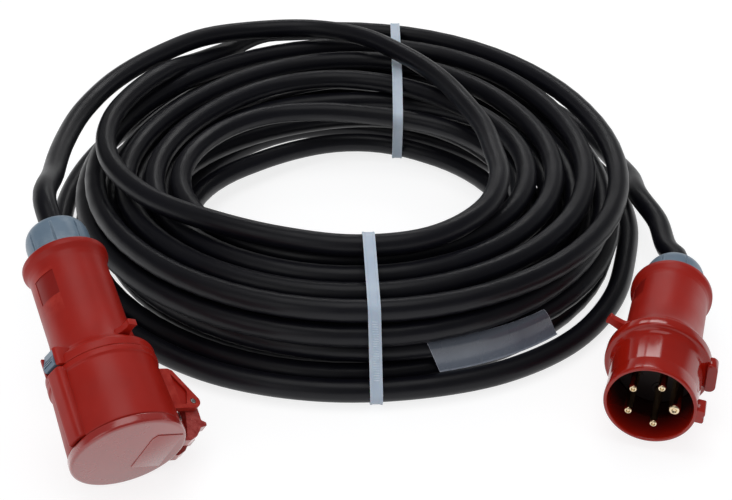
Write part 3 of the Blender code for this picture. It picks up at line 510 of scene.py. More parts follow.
class Solid:
    """A closed shape under construction, in its own frame."""

    def __init__(self, bm: bmesh.types.BMesh | None = None) -> None:
        """Start empty, or from a bmesh."""
        self.bm = bm or bmesh.new()

    @classmethod
    def turned(cls, outline: Outline, segments: int = 96, soft: float = 0.4) -> Solid:
        """Spin a closed outline of (radius, height) points about Z."""
        points = softened(outline, soft)
        bm = bmesh.new()
        verts = [bm.verts.new((r * MM, 0.0, z * MM)) for r, z in points]
        pairs = zip(range(len(verts)), [*range(1, len(verts)), 0])
        edges = [bm.edges.new((verts[a], verts[b])) for a, b in pairs
                 if points[a][0] or points[b][0]]
        bmesh.ops.spin(bm, geom=verts + edges, angle=math.tau, steps=segments, axis=(0, 0, 1),
                       cent=(0, 0, 0), use_merge=True)
        bmesh.ops.remove_doubles(bm, verts=bm.verts, dist=1e-7)
        bmesh.ops.recalc_face_normals(bm, faces=bm.faces)
        return cls(bm)

    @classmethod
    def rod(cls, radius: float, low: float, high: float, segments: int = 32) -> Solid:
        """Make a plain round rod along Z."""
        return cls.turned([(0, low), (radius, low), (radius, high), (0, high)], segments, 0.0)

    @classmethod
    def prism(cls, outline: Outline, low: float, high: float, soft: float = 0.0) -> Solid:
        """Extrude a flat (x, y) outline along Z."""
        bm = bmesh.new()
        points = softened(outline, soft) if soft else outline
        face = bm.faces.new([bm.verts.new((x * MM, y * MM, low * MM)) for x, y in points])
        grown = bmesh.ops.extrude_face_region(bm, geom=[face])
        tops = [v for v in grown["geom"] if isinstance(v, bmesh.types.BMVert)]
        bmesh.ops.translate(bm, verts=tops, vec=(0, 0, (high - low) * MM))
        bmesh.ops.recalc_face_normals(bm, faces=bm.faces)
        return cls(bm)

    @classmethod
    def side_prism(cls, outline: Outline, low: float, high: float, soft: float = 0.0) -> Solid:
        """Extrude an (x, z) outline sideways, from y = low to y = high."""
        return cls.prism(outline, -high, -low, soft).tipped(90, "X")

    @classmethod
    def block(cls, low: Sequence[float], high: Sequence[float]) -> Solid:
        """Make a box between two corners."""
        corners = [(low[0], low[1]), (high[0], low[1]), (high[0], high[1]), (low[0], high[1])]
        return cls.prism(corners, low[2], high[2])

    @classmethod
    def lofted(cls, rings: list[Sequence], closed: bool) -> Solid:
        """Join rings of points one after another, into a closed band or between two end faces."""
        bm = bmesh.new()
        corners = [[bm.verts.new(Vector(point) * MM) for point in ring] for ring in rings]
        loops = [[bm.edges.new((ring[k - 1], ring[k])) for k in range(len(ring))]
                 for ring in corners]
        for near, far in zip(loops, loops[1:] + loops[:1] if closed else loops[1:]):
            bmesh.ops.bridge_loops(bm, edges=near + far)
        if not closed:
            bm.faces.new(corners[0])
            bm.faces.new(corners[-1])
        bmesh.ops.recalc_face_normals(bm, faces=bm.faces)
        return cls(bm)

    def laid(self, frame: Matrix) -> Solid:
        """Move the shape by a matrix, such as its fitting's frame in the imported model."""
        bmesh.ops.transform(self.bm, matrix=frame, verts=self.bm.verts)
        return self

    def tipped(self, degrees: float, axis: str) -> Solid:
        """Turn the shape about X, Y or Z."""
        return self.laid(Matrix.Rotation(math.radians(degrees), 4, axis))

    def spun(self, degrees: float) -> Solid:
        """Turn the shape about Z."""
        return self.tipped(degrees, "Z")

    def shifted(self, x: float, y: float = 0.0, z: float = 0.0) -> Solid:
        """Move the shape along X, Y and Z."""
        bmesh.ops.translate(self.bm, verts=self.bm.verts, vec=(x * MM, y * MM, z * MM))
        return self

    def at_pole(self, index: int) -> Solid:
        """Move the shape from the axis to one of the poles."""
        return self.shifted(PIN_CIRCLE_R).spun(PIN_STEP * index)

    def leaned(self, lean: float, level: float) -> Solid:
        """Shear the shape sideways towards the back, about the line y = level."""
        shear = Matrix.Identity(4)
        shear[0][1] = lean
        shear[0][3] = -lean * level * MM
        return self.laid(shear)

    def bevelled(self, width: float, segments: int = 3, angle: float = 32.0) -> Solid:
        """Round every edge that is sharper than an angle."""
        edges = [e for e in self.bm.edges
                 if e.is_manifold and e.calc_face_angle(0.0) > math.radians(angle)]
        bmesh.ops.bevel(self.bm, geom=edges, offset=width * MM, offset_type="OFFSET",
                        segments=segments, profile=0.5, affect="EDGES", clamp_overlap=True,
                        material=-1)
        return self

    def joined(self, *others: Solid) -> Solid:
        """Take other shapes in; they may pass into this one."""
        for other in others:
            mesh = bpy.data.meshes.new("joined")
            other.bm.to_mesh(mesh)
            other.bm.free()
            self.bm.from_mesh(mesh)
            bpy.data.meshes.remove(mesh)
        return self

    def with_painted_shade(self, shade_amount: Callable[[float, float, float], float]) -> Solid:
        """Mark how much painted shade each point gets, from (radius, degrees, height)."""
        layer = self.bm.verts.layers.float.new("painted_shade")
        for vert in self.bm.verts:
            x, y, z = vert.co / MM
            vert[layer] = share(shade_amount(math.hypot(x, y), math.degrees(math.atan2(y, x)), z))
        return self

    def placed(self, name: str) -> bpy.types.Object:
        """Put the shape into the scene as an object."""
        mesh = bpy.data.meshes.new(name)
        self.bm.to_mesh(mesh)
        self.bm.free()
        return place_object(name, mesh)

    def _combined(self, operation: str, *others: Solid) -> Solid:
        """Join or cut with an exact Boolean, again with the tool nudged if matter went missing."""
        other = Solid().joined(*others)
        lost = other.bm.calc_volume() if operation == "DIFFERENCE" else 0.0
        least = (self.bm.calc_volume() - lost) * KEPT_VOLUME
        target, tool = self.placed("target"), other.placed("tool")
        modifier = target.modifiers.new("combine", "BOOLEAN")
        modifier.operation = operation
        modifier.solver = "EXACT"
        modifier.use_self = True
        modifier.object = tool
        for attempt in range(BOOLEAN_TRIES):
            tool.location = [NUDGE * attempt] * 3
            bpy.context.view_layer.update()
            self.bm = bmesh.new()
            self.bm.from_object(target, bpy.context.evaluated_depsgraph_get())
            if self.bm.calc_volume() > least:
                break
            LOG.info("%s is tried again, %d", operation, attempt + 1)
        discard(target)
        discard(tool)
        return self

    def cut(self, *others: Solid) -> Solid:
        """Cut other shapes out of this one."""
        return self._combined("DIFFERENCE", *others)

    def fused(self, *others: Solid) -> Solid:
        """Join other shapes to this one along a clean line."""
        return self._combined("UNION", *others)

    def finished(self, name: str, finish: Finish, body: Body, *stands_for: str) -> bpy.types.Object:
        """Turn the shape into a piece of the dressed model.

        Args:
            name: The piece's name.
            finish: Its surface.
            body: The body that it rides on.
            *stands_for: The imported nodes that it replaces.

        Returns:
            The new object, at the origin, with its place in its mesh.
        """
        bmesh.ops.remove_doubles(self.bm, verts=self.bm.verts, dist=2e-7)
        layer = self.bm.verts.layers.float.new("edge")
        for vert in self.bm.verts:
            folds = [e.calc_face_angle_signed(0.0) for e in vert.link_edges if e.is_manifold]
            vert[layer] = share((math.degrees(max(folds, default=0.0)) - RUBBED_FROM) / RUBBED_OVER)
        made = self.placed(name)
        made.data.shade_smooth()
        made.data.set_sharp_from_angle(angle=math.radians(SHARP_FROM))
        made.data.materials.append(finish.material())
        settle(made, finish, body, *stands_for)
        return made


def lying_frame(x: float, y: float, z: float, yaw: float, tilt: float, roll: float) -> Matrix:
    """Return a fitting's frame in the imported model: +Z out of its mouth, tilted nose up."""
    a, b = math.radians(yaw), math.radians(tilt)
    forward = Vector((math.sin(a) * math.cos(b), -math.cos(a) * math.cos(b), math.sin(b)))
    up = (Vector((0, 0, 1)) - forward * forward.z).normalized()
    frame = Matrix((up.cross(forward), up, forward)).transposed().to_4x4()
    frame = frame @ Matrix.Rotation(math.radians(roll), 4, "Z")
    frame.translation = Vector((x + COIL_CENTRE[0], y + COIL_CENTRE[1], z)) * MM
    return frame


# --- cable ---------------------------------------------------------------------------------------
@dataclass
class Cable:
    """The lead's one cable: from the connector over and round the coil to the plug.

    BULGES holds each bulge's amount, middle and power. The routes hold the tails' stations:
    direction and distance from the coil's centre, and height where they leave the floor.
    """

    plug_frame: Matrix
    connector_frame: Matrix
    diameter: float = 15.0
    over_strap: float = 1.53
    layers: int = 4
    layer_pitch: float = 15.65
    coil_start: float = 25.0
    coil_turns: float = 16 + 75 / 360
    lead_in: float = 0.375
    tight_pitch: float = 15.75
    per_turn: int = 64
    step: float = 7.0
    wander: float = 0.36
    entry_slope: float = 0.4
    in_nut: float = 8.0
    plug_exit: float = -121.5
    connector_exit: float = -133.0
    nut_length: float = 26.0
    BULGES: tuple = ((17.0, 98.0, 3), (2.4, 250.0, 4))
    PLUG_ROUTE: tuple = (
        (-19.5, 236.3, 27.0), (-10.5, 226.3, 26.0), (-1.0, 215.2, 25.0), (8.5, 218.9, 17.7),
        (19.0, 223.1, 10.0), (32.0, 229.0), (52.0, 238.0), (74.0, 245.4), (96.0, 245.9),
        (118.0, 240.4), (140.0, 232.6), (162.0, 224.0), (184.0, 218.0), (206.0, 213.2),
        (226.0, 210.9), (246.0, 211.3), (264.0, 210.8), (282.0, 212.1), (298.0, 216.2),
        (313.0, 217.4), (328.0, 213.2), (342.0, 207.6), (355.0, 207.4), (367.0, 206.4),
    )
    CONNECTOR_ROUTE: tuple = (
        (123.0, 205.7, 57.0), (132.0, 196.7, 61.2), (141.5, 187.8, 69.0), (153.0, 183.6, 72.3),
        (171.0, 182.2, 72.3), (190.0, 175.5, 72.9), (211.0, 161.0, 73.1), (233.0, 145.5, 73.6),
        (252.0, 140.5, 73.1), (272.0, 142.0, 72.4), (292.0, 142.0, 72.0), (313.0, 132.4, 71.8),
        (333.0, 117.2, 71.1), (352.0, 104.2, 69.4), (372.0, 100.8, 69.5), (392.0, 102.5, 71.5),
        (412.0, 115.2, 73.1), (432.0, 136.6, 75.5), (448.0, 164.3, 76.6), (462.0, 187.3, 74.6),
        (475.0, 198.6, 74.4), (488.0, 203.0, 77.0), (501.0, 203.1, 76.6), (515.0, 203.6, 76.6),
        (530.0, 203.9, 77.3), (546.0, 206.4, 80.6), (560.0, 214.6, 86.7),
    )

    @staticmethod
    def polar(degrees: float, radius: float, height: float) -> np.ndarray:
        """Return the point at a direction and distance from the coil's centre."""
        a = math.radians(degrees)
        return np.array([radius * math.cos(a), radius * math.sin(a), height])

    @staticmethod
    def waves(degrees: float, mean: float, parts: Outline) -> float:
        """Return a mean with the cosine and sine parts of one, two, ... waves round the coil."""
        a = math.radians(degrees)
        return mean + sum(c * math.cos(n * a) + s * math.sin(n * a)
                          for n, (c, s) in enumerate(parts, 1))

    def inner_radius(self, degrees: float) -> float:
        """Return the innermost loop's radius; its hole is pulled towards the front."""
        return self.waves(degrees, 110.6, ((-1.9, -20.0), (5.3, 2.4)))

    def outer_radius(self, degrees: float) -> float:
        """Return the outermost loop's radius; it bulges at the back and a little in front."""
        bulge = sum(amount * max(0.0, math.cos(math.radians(degrees - middle))) ** power
                    for amount, middle, power in self.BULGES)
        return bulge + self.waves(degrees, 202.4, ((0.0, 3.8), (-2.1, -3.2), (-1.4, -1.3)))

    def floor_height(self, degrees: float) -> float:
        """Return the height of a cable's middle on the floor, raised over a tie's strap."""
        near_tie = 1.0 - math.cos(math.radians(degrees)) ** 4
        return self.diameter / 2 + GAP + self.over_strap * near_tie

    def coil_point(self, turns: float) -> np.ndarray:
        """Return the coil's middle line after a number of turns."""
        sweep = (self.coil_turns - self.lead_in) / self.layers
        degrees = self.coil_start + 360.0 * turns
        turns -= self.lead_in
        layer = min(max(int(turns / sweep), 0), self.layers - 1)
        across = turns / sweep - layer
        across *= self.entry_slope if across < 0.0 else 1.0
        across = 1.0 - across if layer % 2 == 0 else across
        inner, outer = self.inner_radius(degrees), self.outer_radius(degrees)
        slack = (outer - inner) / sweep - self.tight_pitch
        wander = self.wander * slack * math.sin(2.0 * math.radians(degrees) + 1.3 * turns)
        height = self.floor_height(degrees)
        for climb in range(1, self.layers):
            height += self.layer_pitch * share(2.0 * (turns - climb * sweep) + 0.5)
        return self.polar(degrees, inner + across * (outer - inner) + wander, height)

    def coil(self) -> list[np.ndarray]:
        """Return the coil's points with its two straight ends, one diameter long."""
        count = round(self.coil_turns * self.per_turn)
        points = [self.coil_point(self.coil_turns * i / count) for i in range(count + 1)]
        beyond = [end + unit(end - self.coil_point(near)) * self.diameter
                  for end, near in ((points[0], 0.01), (points[-1], self.coil_turns - 0.01))]
        return [beyond[0], *points, beyond[1]]

    def smooth(self, route: list, start_way: np.ndarray, end_way: np.ndarray) -> np.ndarray:
        """Return evenly read points of the smooth curve through a route."""
        knots = np.array(route)
        spans = np.linalg.norm(np.diff(knots, axis=0), axis=1)
        slopes = np.diff(knots, axis=0) / spans[:, None]
        before, after = spans[:-1, None], spans[1:, None]
        inner = (slopes[:-1] * after + slopes[1:] * before) / (before + after)
        ways = np.vstack([unit(start_way), inner, unit(end_way)])
        fine = []
        for i, span in enumerate(spans):
            for t in np.linspace(0.0, 1.0, 40, endpoint=False):
                fine.append((2 * t**3 - 3 * t**2 + 1) * knots[i]
                            + (t**3 - 2 * t**2 + t) * span * ways[i]
                            + (3 * t**2 - 2 * t**3) * knots[i + 1]
                            + (t**3 - t**2) * span * ways[i + 1])
        fine = np.array([*fine, knots[-1]])
        run = np.concatenate([[0.0], np.cumsum(np.linalg.norm(np.diff(fine, axis=0), axis=1))])
        reads = np.linspace(0.0, run[-1], max(2, round(run[-1] / self.step) + 1))
        return np.column_stack([np.interp(reads, run, fine[:, k]) for k in range(3)])

    def _nut_ends(self, frame: Matrix, out: float) -> list[np.ndarray]:
        """Return where the jacket ends in a fitting and where it leaves the nut straight."""
        ends = []
        for height in (out + self.in_nut, out - self.nut_length - self.diameter):
            point = np.array(frame @ Vector((0.0, 0.0, height * MM))) / MM
            ends.append(point - np.array([*COIL_CENTRE, 0.0]))
        return ends

    def _stations(self, route: tuple) -> list[np.ndarray]:
        """Return a route's points; those with no height lie on the floor."""
        return [self.polar(a, r, h[0] if h else self.floor_height(a)) for a, r, *h in route]

    def plug_tail(self) -> list[np.ndarray]:
        """Return the stretch from the plug, once round the coil, and into it."""
        jacket_end, leaves = self._nut_ends(self.plug_frame, self.plug_exit)
        outside, first = self.coil()[:2]
        way = unit(first - outside)
        meets = outside - way * (GAP + self.diameter)
        route = [leaves, *self._stations(self.PLUG_ROUTE), meets]
        return [jacket_end, *self.smooth(route, leaves - jacket_end, way)]

    def connector_tail(self) -> list[np.ndarray]:
        """Return the stretch from the coil's top, over its loops, to the connector."""
        jacket_end, leaves = self._nut_ends(self.connector_frame, self.connector_exit)
        last, outside = self.coil()[-2:]
        way = unit(outside - last)
        meets = outside + way * (GAP + self.diameter)
        route = [meets, *self._stations(self.CONNECTOR_ROUTE), leaves]
        return [*self.smooth(route, way, jacket_end - leaves), jacket_end]

    def whole(self) -> np.ndarray:
        """Return the cable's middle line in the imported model's metres, from the connector on."""
        points = np.array([*self.plug_tail(), *self.coil(), *self.connector_tail()])[::-1]
        return (points + np.array([*COIL_CENTRE, 0.0])) * MM

    def build(self) -> bpy.types.Object:
        """Make the cable as one curve that stands for its three packed stretches."""
        return wire("cable", self.whole(), self.diameter / 2, 8, CABLE_RUBBER, "cord_coil",
                    "cord_tail_plug", "cord_tail_connector")

    def declare(self) -> None:
        """Work out the cable's middle line, and nothing more."""
        points = self.whole()


# --- ties and label ------------------------------------------------------------------------------
@dataclass
class Tie:
    """A milky cable tie pulled tight round the loops."""

    name: str
    x: float
    side: int
    ceiling: float
    cable: Cable
    width: float = 8.0
    thickness: float = 1.3
    clearance: float = 0.12
    tooth_pitch: float = 1.55
    toothed_wall: float = 22.0
    ladder: tuple[float, float] | None = None
    head_outside: bool = False
    head_rise: float = 2.6
    lean: float = 0.0
    lean_level: float = -150.0
    wall_divide: float = 150.0
    corners: list = field(default_factory=list)

    def _spots(self) -> Points:
        """Return where the cable passes the strap's two edges."""
        found = []
        for points in (self.cable.plug_tail(), self.cable.coil(), self.cable.connector_tail()):
            upright = [p - np.array([self.lean * (p[1] - self.lean_level), 0.0, 0.0])
                       for p in points]
            for edge in (self.x - self.width / 2, self.x + self.width / 2):
                for a, b in zip(upright, upright[1:]):
                    if (a[0] - edge) * (b[0] - edge) <= 0.0 and a[0] != b[0]:
                        spot = a + (edge - a[0]) / (b[0] - a[0]) * (b - a)
                        if spot[1] * self.side > 0 and spot[2] < self.ceiling:
                            found.append((float(spot[1]), float(spot[2])))
        return found

    @staticmethod
    def _tight_loop(spots: Points) -> Points:
        """Return the corners, anticlockwise, of the band pulled tight round some points."""
        loop = []
        for way in (1, -1):
            chain = []
            for spot in sorted(spots)[::way]:
                while len(chain) > 1 and np.cross(np.subtract(chain[-1], chain[-2]),
                                                  np.subtract(spot, chain[-1])) <= 0:
                    chain.pop()
                chain.append(spot)
            loop += chain[:-1]
        return loop

    def _path(self, reach: float) -> Points:
        """Return the strap's line round the corners at a distance from the cables' middles."""
        path = []
        for i, centre in enumerate(self.corners):
            before = np.subtract(centre, self.corners[i - 1])
            after = np.subtract(self.corners[(i + 1) % len(self.corners)], centre)
            start = math.atan2(-before[0], before[1])
            turn = (math.atan2(-after[0], after[1]) - start) % math.tau
            steps = max(3, round(math.degrees(turn) / 7))
            path += arc(centre, reach, math.degrees(start), math.degrees(start + turn), steps)
        return path

    def _strap(self) -> Solid:
        """Make the strap: a flat band with rounded edges and a shallow channel outside."""
        half, t = self.width / 2, self.thickness
        section = softened([(-half, 0.0), (half, 0.0), (half, t), (half - 1.3, t),
                            (half - 1.7, t - 0.35), (1.7 - half, t - 0.35), (1.3 - half, t),
                            (-half, t)], 0.3, 2)
        reach = self.cable.diameter / 2 + self.clearance
        paths = [self._path(reach + v) for _, v in section]
        rings = [[(self.x + u, *path[i]) for (u, _), path in zip(section, paths)]
                 for i in range(len(paths[0]))]
        return Solid.lofted(rings, True)

    def _ladder(self) -> list[Solid]:
        """Make the strap's moulded teeth on the stretch that shows them."""
        reach = self.cable.diameter / 2 + self.clearance + self.thickness - 0.4
        path = np.array(self._path(reach))
        closed = np.vstack([path, path[:1]])
        run = np.concatenate([[0], np.cumsum(np.linalg.norm(np.diff(closed, axis=0), axis=1))])
        front = closed[:, 0] * self.side > max(abs(closed[:, 0])) - self.toothed_wall
        teeth = []
        for read in np.arange(0.0, run[-1], self.tooth_pitch):
            spot = [float(np.interp(read, run, closed[:, k])) for k in range(2)]
            ahead = [float(np.interp(read + 0.5, run, closed[:, k])) for k in range(2)]
            if front[min(int(np.searchsorted(run, read)), len(front) - 1)] \
                    and self.ladder[0] < spot[1] < self.ladder[1]:
                lean = math.degrees(math.atan2(ahead[1] - spot[1], ahead[0] - spot[0]))
                tooth = Solid.block((-1.9, -0.32, -0.2), (1.9, 0.32, 0.55)).bevelled(0.15, 2)
                teeth.append(tooth.tipped(lean, "X").shifted(self.x + 0.3, spot[0], spot[1]))
        return teeth

    def _head(self) -> Solid:
        """Make the locking head on the coil's inner or outer wall."""
        walls = [abs(self.corners[i][1] - self.corners[i - 1][1])
                 * ((abs(self.corners[i][0]) > self.wall_divide) == self.head_outside)
                 for i in range(len(self.corners))]
        side = walls.index(max(walls))
        start, end = np.array(self.corners[side - 1]), np.array(self.corners[side])
        along = unit(end - start)
        outward = np.array([along[1], -along[0]])
        middle = (start + end) / 2 + outward * (self.cable.diameter / 2 + self.head_rise)
        turn = math.degrees(math.atan2(outward[1], outward[0]))
        head = Solid.block((-5.0, -1.8, -4.0), (5.0, 3.4, 4.0))
        head.cut(Solid.block((-3.4, -0.6, -6.0), (3.4, 1.6, 6.0))).bevelled(0.5)
        tail = Solid.block((-3.2, -0.5, 2.0), (3.2, 0.7, 7.5)).bevelled(0.3)
        return head.joined(tail).tipped(turn - 90, "X").shifted(self.x, middle[0], middle[1])

    def build(self) -> bpy.types.Object:
        """Make the tie."""
        self.corners = self._tight_loop(self._spots())
        whole = self._strap().joined(self._head())
        if self.ladder:
            whole.joined(*self._ladder())
        whole.leaned(self.lean, self.lean_level).shifted(*COIL_CENTRE)
        return whole.finished(self.name + "_strap", TIE_NYLON, Body.LEAD, self.name)


@dataclass
class Label:
    """The bare film that hugs one low loop from outside and hangs over the lowest."""

    cable: Cable
    first: float = 284.3
    last: float = 309.0
    radius: float = 8.4
    thickness: float = 0.6
    top_first: float = 66.0
    top_last: float = 58.0
    low_end: float = 12.0
    skirt: float = 14.5
    height: float = 24.0
    slant: float = 2.4
    # painted shade on the film starts this many mm above the lowest loop's middle and is full at
    # twice that
    shaded: float = 9.0

    def _above(self, degrees: float, turns: float) -> tuple[float, float]:
        """Return where the loop above the label's own passes, from its middle."""
        own = self.cable.coil_point(turns)
        away = self.cable.polar(degrees, 1.0, 0.0)
        found = (0.0, self.cable.layer_pitch)
        for extra in range(1, int(self.cable.coil_turns)):
            gap = self.cable.coil_point(turns + extra) - own
            if abs(gap @ away) < 6.0 and abs(gap[2] - self.cable.layer_pitch) < 2.0:
                found = (float(gap @ away), float(gap[2]))
        return found

    def _section(self, part: float, above: tuple[float, float]) -> Points:
        """Return the film's section: it hugs the upper loop, then flares out over the lower."""
        half = self.thickness / 2
        top = self.top_first + (self.top_last - self.top_first) * part
        start = math.radians(self.low_end)
        foot = (above[0] + self.radius * math.cos(start) + self.skirt * math.sin(start),
                above[1] + self.radius * math.sin(start) - self.skirt * math.cos(start))
        hem = [(foot[0] + half, foot[1] + 0.9), (foot[0] + 1.2, foot[1] + 0.5),
               (foot[0] + 1.2, foot[1]), (foot[0] - half, foot[1])]
        return softened([*arc(above, self.radius + half, top, self.low_end, 12), *hem,
                         *arc(above, self.radius - half, self.low_end, top, 12)], 0.2, 2)

    def build(self) -> bpy.types.Object:
        """Make the label, with both ends cut at a slant."""
        rings = []
        for part in (0.0, 0.006, 0.013, *np.linspace(0.04, 0.96, 26), 0.987, 0.994, 1.0):
            degrees = self.first + (self.last - self.first) * part
            above = self._above(degrees, (degrees - self.cable.coil_start) / 360.0)
            ring = []
            for out, up in self._section(part, above):
                here = degrees + self.slant * (1.0 - up / self.height)
                own = self.cable.coil_point((here - self.cable.coil_start) / 360.0)
                ring.append(own + self.cable.polar(here, out, up))
            rings.append(ring)
        # Painted shade: the film is painted darker towards its top.
        film = Solid.lofted(rings, False).with_painted_shade(
            lambda _, a, z: (z - self.cable.floor_height(a)) / self.shaded - 1.0)
        film.shifted(*COIL_CENTRE)
        return film.finished("label_film", LABEL_FILM, Body.LEAD, "label_sleeve")


# --- fittings ------------------------------------------------------------------------------------
@dataclass
class Fitting:
    """What the plug and the connector have in common."""

    frame: Matrix
    name: str
    joint: float
    rear: float
    nut: Body
    slot_turn: float
    grip_r: float = 24.1
    flare_r: float = 26.6
    nut_r: float = 19.9
    nut_length: float = 26.0
    spigot: float = 9.0
    sunk: float = 0.35
    made: list = field(default_factory=list)

    def rear_outline(self, shoulder: list, bore: float) -> Points:
        """Return the rear housing's outline: shoulder, waisted grip, flared end and spigot."""
        joint, rear = self.joint, self.rear
        return [*shoulder, (self.grip_r, joint - 30.0), (self.grip_r, rear + 11.0),
                (24.7, rear + 7.6), (25.9, rear + 5.2), (self.flare_r, rear + 4.2),
                (self.flare_r, rear + 0.9), (25.9, rear), (24.0, rear), (23.0, rear + 1.2),
                (22.2, rear + 14.0), (16.4, rear + 15.0), (16.4, rear - self.spigot),
                (14.0, rear - self.spigot), (14.0, rear + 18.0), (21.9, rear + 19.5),
                (22.2, joint - 19.0), (24.1, joint - 11.0), (bore, joint - 6.0), (bore, joint)]

    @staticmethod
    def tab(inner: float, outer: float, low: float, high: float) -> Solid:
        """Make the tapered tab that stands out beside the joint, wider at its tip."""
        outline = [(-inner, -5.2), (-inner - 4.0, -3.0), (-outer + 2.0, -2.4), (-outer, -3.3),
                   (-outer, 3.3), (-outer + 2.0, 2.4), (-inner - 4.0, 3.0), (-inner, 5.2)]
        return Solid.prism(outline, low, high, 1.2).bevelled(0.5)

    def panel(self, turn: float, half: float, low: float, high: float) -> Solid:
        """Make the tool that sinks a bare panel into the grip, half its width in degrees."""
        ring = [*arc((0, 0), self.grip_r + 2.0, -half, half, 12),
                *arc((0, 0), self.grip_r - self.sunk, half, -half, 12)]
        return Solid.prism(ring, low, high).spun(turn)

    def in_panel(self, turn: float, half: float, low: float, high: float) -> Callable:
        """Return the test for points on a sunk panel's floor, which gets painted shade."""
        floor = self.grip_r - self.sunk
        return lambda r, a, z: float(abs(r - floor) < 0.06 and low - 0.1 < z < high + 0.1
                                     and abs((a - turn + 180.0) % 360.0 - 180.0) < half + 0.2)

    def add(self, solid: Solid, name: str, finish: Finish, body: Body, *stands_for: str) -> None:
        """Lay a shape in the fitting's frame and finish it."""
        self.made.append(solid.laid(self.frame).finished(name, finish, body, *stands_for))

    def gland_nut(self) -> None:
        """Make the gland nut: skirt with three wide notches, axial grooves and a domed end."""
        rear, outer = self.rear, self.nut_r
        back, seat = rear - self.nut_length, rear - self.spigot
        nut = Solid.turned([
            (16.9, rear + 3.5), (outer - 0.8, rear + 3.5), (outer, rear + 2.6),
            (outer, back + 10.0), (outer - 0.35, back + 7.4), (outer - 1.1, back + 4.6),
            (17.6, back + 2.4), (16.0, back + 0.9), (13.8, back), (8.6, back),
            (8.0, back + 0.7), (8.0, seat - 5.0), (16.9, seat - 5.0)], 120, 0.7)
        half = math.radians(38.0)
        wedge = [(0.0, 0.0), (30 * math.cos(half), -30 * math.sin(half)),
                 (30 * math.cos(half), 30 * math.sin(half))]
        for i in range(3):
            notch = Solid.prism(wedge, rear - 4.0, rear + 6.0).bevelled(1.6, 4)
            nut.cut(notch.spun(self.slot_turn + 120 * i))
        grooves = []
        for i in range(8):
            groove = Solid.block((outer - 0.9, -0.75, back + 4.0), (outer + 2, 0.75, rear + 6))
            grooves.append(groove.bevelled(0.3, 2).spun(self.slot_turn + 45 * i))
        nut.cut(*grooves)
        self.add(nut, self.name + "_nut_shell", GREY_NUT, self.nut, self.name + "_gland_nut")

    def terminals(self, prefix: str, height: float) -> None:
        """Make the terminals' clamping screws, with a driver slot in each head."""
        for i, pole in enumerate(POLES):
            seat = PIN_CIRCLE_R + (4.3 if pole == "earth" else 3.7) + GAP
            screw = Solid.turned([(0, PIN_CIRCLE_R + 2.0), (1.4, PIN_CIRCLE_R + 2.0), (1.4, seat),
                                  (2.3, seat), (2.3, seat + 1.1), (1.8, seat + 1.5),
                                  (0, seat + 1.5)], 32, 0.15)
            screw.cut(Solid.block((-3.0, -0.3, seat + 0.8), (3.0, 0.3, seat + 2.0)))
            screw.tipped(90, "Y").shifted(0, 0, height).spun(PIN_STEP * i)
            node = f"{prefix}_screw_{pole}"
            self.add(screw, node + "_head", STEEL, Body.LEAD, node)

    def contacts(self, prefix: str, outlines: dict[str, Outline], screw_z: float) -> None:
        """Make the brass contacts, with the cross hole for each clamping screw."""
        for i, pole in enumerate(POLES):
            kind = "earth" if pole == "earth" else "line"
            contact = Solid.turned(outlines[kind], 40, 0.2)
            hole = Solid.rod(1.7, 0, 8.0, 24)
            contact.cut(hole.tipped(90, "Y").shifted(0, 0, screw_z)).at_pole(i)
            node = f"{prefix}_{pole}"
            self.add(contact, node + "_turned", BRASS, Body.LEAD, node)

    def dress_inner_nodes(self, core_prefix: str) -> None:
        """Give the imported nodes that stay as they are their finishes."""
        dress(f"{self.name}_clamp_ring", GREY_NUT)
        dress(f"{self.name}_gland_seal", SEAL_RUBBER)
        for pole, finish in zip(POLES, CORES):
            dress(f"{core_prefix}_core_{pole}", finish)


def dress(node: str, finish: Finish) -> None:
    """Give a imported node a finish."""
    piece = next(o for o in bpy.context.scene.objects if o.get("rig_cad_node") == node)
    for slot in piece.material_slots:
        slot.material = finish.material()
    LOG.info("%s keeps its packed shape", node)


